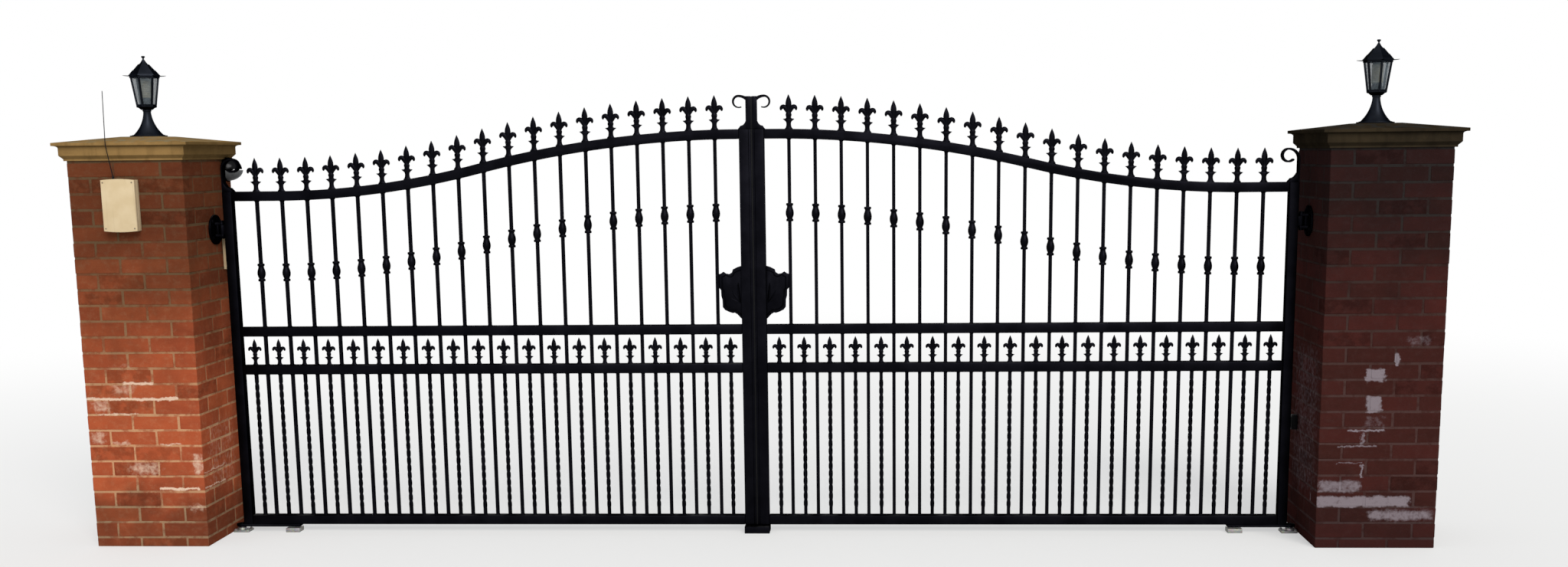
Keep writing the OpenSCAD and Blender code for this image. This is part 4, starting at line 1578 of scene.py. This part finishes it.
@dataclass
class Fittings:
    """What else is fixed to the piers and to the ground.

    Attributes:
        palette: The finishes.
        light: Where the bulkhead light's axis meets the brickwork.
        hood: Radius of its hood.
        bowl: Depth of its bowl.
        hinge: Where the right hinge plate's axis meets the brickwork.
        circle: Radius of the circle on which a hinge plate's bolts lie.
        pivot: X of the right bottom pivot's axis.
    """

    palette: Palette
    light: tuple[float, float, float] = (-PIER_EDGE, 0.165, 1.8)
    hood: float = 0.06
    bowl: float = 0.09
    hinge: tuple[float, float, float] = (PIER_EDGE, 0.0, 1.511)
    circle: float = 0.055
    pivot: float = 2.603

    def bulkhead_light(self) -> None:
        """Builds the bulkhead light: a back plate, a grey bowl below and a gloss hood above it."""
        shape = Shape()
        wall = at(*self.light) @ turn(90, "Y")
        r, inner = self.hood, self.hood - 0.004
        back = [(0.0, 0.0), (r - 0.011, 0.0), (r - 0.01, 0.002), (r - 0.01, 0.012), (r - 0.013, 0.015)]
        shape.add(turned([*back, (0.0, 0.015)], 40), wall)
        quarter = [math.radians(9 * i) for i in range(11)]
        start = 0.014
        grey = (inner, 0.012, self.bowl - start, 0.004, -1)
        gloss = (r, 0.013, 0.07, -0.001, 1)
        for slot, (radius, foot, depth, cut, away) in ((1, grey), (0, gloss)):
            profile = [(radius * math.cos(a), start + depth * math.sin(a)) for a in quarter]
            dome = turned([(0.0, foot), *profile], 40)
            self.keep(dome, (cut, 0, 0), (away, 0, 0))
            shape.add(dome, wall, slot=slot)
        rim = [(inner - 0.002, 0.013), (r, 0.013), (r, 0.019), (inner - 0.002, 0.019)]
        shape.add(turned(rim, 40), wall)
        finishes = (self.palette.gloss, self.palette.lens)
        shape.finish("bulkhead_hood", "posts", "black_plastic", finishes, "bulkhead_light", sharp=50)

    def keep(self, part: Mesh, point: Sequence[float], normal: Sequence[float]) -> None:
        """Cuts off what lies behind a plane and closes the cut with a fan from its highest corner.

        Args:
            part: The part.
            point: A point of the plane.
            normal: The direction in which the part is cut away.
        """
        geom = [*part.verts, *part.edges, *part.faces]
        cut = bmesh.ops.bisect_plane(part, geom=geom, plane_co=point, plane_no=normal, clear_outer=True)
        edges = [g for g in cut["geom_cut"] if isinstance(g, bmesh.types.BMEdge)]
        for face in bmesh.ops.edgeloop_fill(part, edges=edges)["faces"]:
            rim = list(face.verts)
            start = rim.index(max(rim, key=lambda vert: vert.co.z))
            top, *rest = rim[start:] + rim[:start]
            part.faces.remove(face)
            for pair in zip(rest, rest[1:]):
                part.faces.new((top, *pair))

    def bolt(self, across: float, height: float) -> Mesh:
        """A hexagonal bolt head on its washer, standing on the origin.

        Args:
            across: The head's width over its corners.
            height: Its height from the washer's foot.

        Returns:
            The bolt head.
        """
        half, thin = across / 2, 0.0012
        washer = turned([(0.0, 0.0), (half + 0.003, 0.0), (half + 0.003, thin), (0.0, thin)], 16)
        head = [(half, thin), (half, height - 0.001), (half - thin, height)]
        return Shape(washer, turned([(0.0, thin), *head, (0.0, height)], 6)).mesh

    def hinges(self) -> None:
        """Builds the top hinges with the bolts that hold their round plates to the piers."""
        shape = Shape(from_node("hinge_brackets", 0.0012))
        x, y, z = self.hinge
        web = softened_block((x - 0.0215, y - 0.009, z - 0.024), (x - 0.0075, y + 0.009, z + 0.024), 0.0015)
        shape.add(web, *(side.mirror for side in Side))
        places = []
        for side in Side:
            for a in map(math.radians, (45, 135, 225, 315)):
                across, up = self.circle * math.cos(a), self.circle * math.sin(a)
                places.append(at(side.value * (x - 0.008), y + across, z + up) @ turn(-90 * side.value, "Y"))
        shape.add(self.bolt(0.015, 0.005), *places)
        shape.finish("hinge_irons", "posts", "black_iron", (self.palette.iron,), "hinge_brackets")

    def boxes(self) -> None:
        """Builds the cream junction box with its lid screws and the dark photocell with its window."""
        box = Shape(from_node("junction_box", 0.003, 3))
        head = lathe([(0.0, 0.0), (3.4, 0.0), (3.4, 0.6), (2.5, 1.1), (0.0, 1.2)], 12)
        low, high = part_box("junction_box")
        spots = [(y, z) for z in (low[2] + 0.014, high[2] - 0.014) for y in (low[1] + 0.012, high[1] - 0.012)]
        box.add(head, *(at(high[0] - 0.0001, y, z) @ turn(90, "Y") for y, z in spots), slot=1)
        box.finish("junction_cover", "posts", "cream_plastic", self.palette.cover, "junction_box")
        cell = Shape(from_node("photocell", 0.0025, 3))
        low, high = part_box("photocell")
        middle = ((low[1] + high[1]) / 2, (low[2] + high[2]) / 2)
        eye = lathe([(0.0, -1.0), (10.5, -1.0), (10.5, 0.6), (9.0, 0.9), (0.0, 0.6)], 24)
        cell.add(eye, at(low[0], *middle) @ turn(-90, "Y"), slot=1)
        case = (self.palette.rubber, self.palette.gloss)
        cell.finish("photocell_case", "posts", "black_plastic", case, "photocell")

    def ground_irons(self) -> None:
        """Builds the centre stop and the bottom pivots with their anchor bolts."""
        stop = Shape(from_node("centre_stop", 0.002, 3))
        stop.finish("ground_stop", "posts", "black_iron", (self.palette.iron,), "centre_stop")
        pivots = Shape(from_node("bottom_pivots", 0.0015, 2))
        bolts = [(self.pivot + x, y) for x in (-0.036, 0.025) for y in (-0.023, 0.023)]
        places = [at(side.value * x, y, 0.01) for side in Side for x, y in bolts]
        pivots.add(self.bolt(0.012, 0.0062), *places)
        pivots.finish("pivot_irons", "posts", "zinc_steel", (self.palette.zinc,), "bottom_pivots")

    def build(self) -> None:
        """Builds the fittings."""
        self.bulkhead_light()
        self.hinges()
        self.boxes()
        self.ground_irons()


# Stage


@dataclass
class Stage:
    """The floor, the light and the camera.

    Attributes:
        focal: Focal length in pixels of the picture.
        centre: The picture's principal point, in pixels.
        eye: The camera's place.
        yaw: Its turn to the left, in radians.
        pitch: Its tilt down.
        roll: Its tilt to the side.
        sensor: Width of its sensor in millimetres.
        sun: Where the soft lamp shines from.
        power: Its strength.
        spread: Its angular width, in radians.
        ambient: Colour of the light from all sides.
        glow: Strength of that light.
    """

    focal: float = 2048.2
    centre: Point = (1054.57, 520.0)
    eye: tuple[float, float, float] = (0.6095, -7.5661, 1.8652)
    yaw: float = 0.04706
    pitch: float = 0.15692
    roll: float = -0.01042
    sensor: float = 36.0
    sun: tuple[float, float, float] = (0.3, -0.8, 0.6)
    power: float = 2.2
    spread: float = 0.6
    ambient: Colour = (0.93, 0.96, 1.0)
    glow: float = 0.55

    def camera(self) -> None:
        """Sets up the camera at the photograph's viewpoint."""
        level = math.cos(self.pitch)
        forward = Vector((-math.sin(self.yaw) * level, math.cos(self.yaw) * level, -math.sin(self.pitch)))
        right = forward.cross(Vector((0, 0, 1))).normalized()
        up = right.cross(forward)
        c, s = math.cos(self.roll), math.sin(self.roll)
        right, up = c * right + s * up, -s * right + c * up
        width, height = PICTURE
        data = bpy.data.cameras.new("camera")
        data.sensor_width = self.sensor
        data.lens = self.focal / width * self.sensor
        data.shift_x = (width / 2 - self.centre[0]) / width
        data.shift_y = (self.centre[1] - height / 2) / width
        data.clip_end = 200.0
        camera = bpy.data.objects.new("camera", data)
        camera.matrix_world = at(*self.eye) @ Matrix((right, up, -forward)).transposed().to_4x4()
        bpy.context.scene.collection.objects.link(camera)
        bpy.context.scene.camera = camera

    def floor(self) -> None:
        """Lays a pale floor that the camera sees nearly white."""
        part = bmesh.new()
        bmesh.ops.create_grid(part, x_segments=1, y_segments=1, size=60.0)
        made = bpy.data.meshes.new("floor")
        part.to_mesh(made)
        part.free()
        shader = Shader("floor")
        shader.dress(Base_Color=(0.82, 0.82, 0.81), Roughness=0.9, Specular_IOR_Level=0.0)
        made.materials.append(shader.material)
        lit = Value(shader, shader.surface.outputs[0])
        glow = shader.node("ShaderNodeEmission", {"Color": (1, 1, 1, 1), "Strength": 1.0})
        seen = shader.node("ShaderNodeLightPath", output="Is Camera Ray")
        distance = shader.node("ShaderNodeVectorMath", {0: shader.place}, "Value", operation="LENGTH")
        amount = seen * (distance.rise(3.5, 11.0) * 0.55 + 0.45)
        shader.show(shader.node("ShaderNodeMixShader", {0: amount, 1: lit, 2: glow}))
        floor = bpy.data.objects.new("floor", made)
        bpy.context.scene.collection.objects.link(floor)
        floor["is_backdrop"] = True

    def light(self) -> None:
        """Sets up a white world and a wide soft lamp from the front, a little to the right."""
        world = bpy.data.worlds.new("world")
        bpy.context.scene.world = world
        tree = Tree(world, "ShaderNodeOutputWorld")
        rays = ("Is Camera Ray", "Is Glossy Ray", "Is Transmission Ray")
        camera, glossy, through = (tree.node("ShaderNodeLightPath", output=ray) for ray in rays)
        ambient = tree.node("ShaderNodeBackground", {"Color": self.ambient, "Strength": self.glow})
        white = tree.node("ShaderNodeBackground", {"Color": (1, 1, 1)})
        direct = camera.larger(glossy).larger(through)
        tree.show(tree.node("ShaderNodeMixShader", {0: direct, 1: ambient, 2: white}))
        lamp = bpy.data.lights.new("key", "SUN")
        lamp.energy = self.power
        lamp.angle = self.spread
        lamp.color = (1.0, 0.97, 0.92)
        key = bpy.data.objects.new("key", lamp)
        key.matrix_world = Vector(self.sun).to_track_quat("Z", "Y").to_matrix().to_4x4()
        bpy.context.scene.collection.objects.link(key)

    def build(self) -> None:
        """Builds the stage."""
        self.camera()
        self.floor()
        self.light()
        bpy.context.scene.view_settings.view_transform = "Standard"


def corners() -> list[list[float]]:
    """The whole object's lowest and highest corner as plain numbers."""
    return [[float(c) for c in corner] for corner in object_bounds()]


def main() -> None:
    """Builds the gate on its frame."""
    logging.basicConfig(level=logging.INFO, format="%(message)s")
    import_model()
    Stage().build()
    palette = Palette()
    for side in Side:
        BrickPier(palette, side).build()
        Leaf(palette, side).build()
    for assembly in (Caps, Lanterns, ControlBox, Fittings):
        assembly(palette).build()


if __name__ == "__main__":
    main()
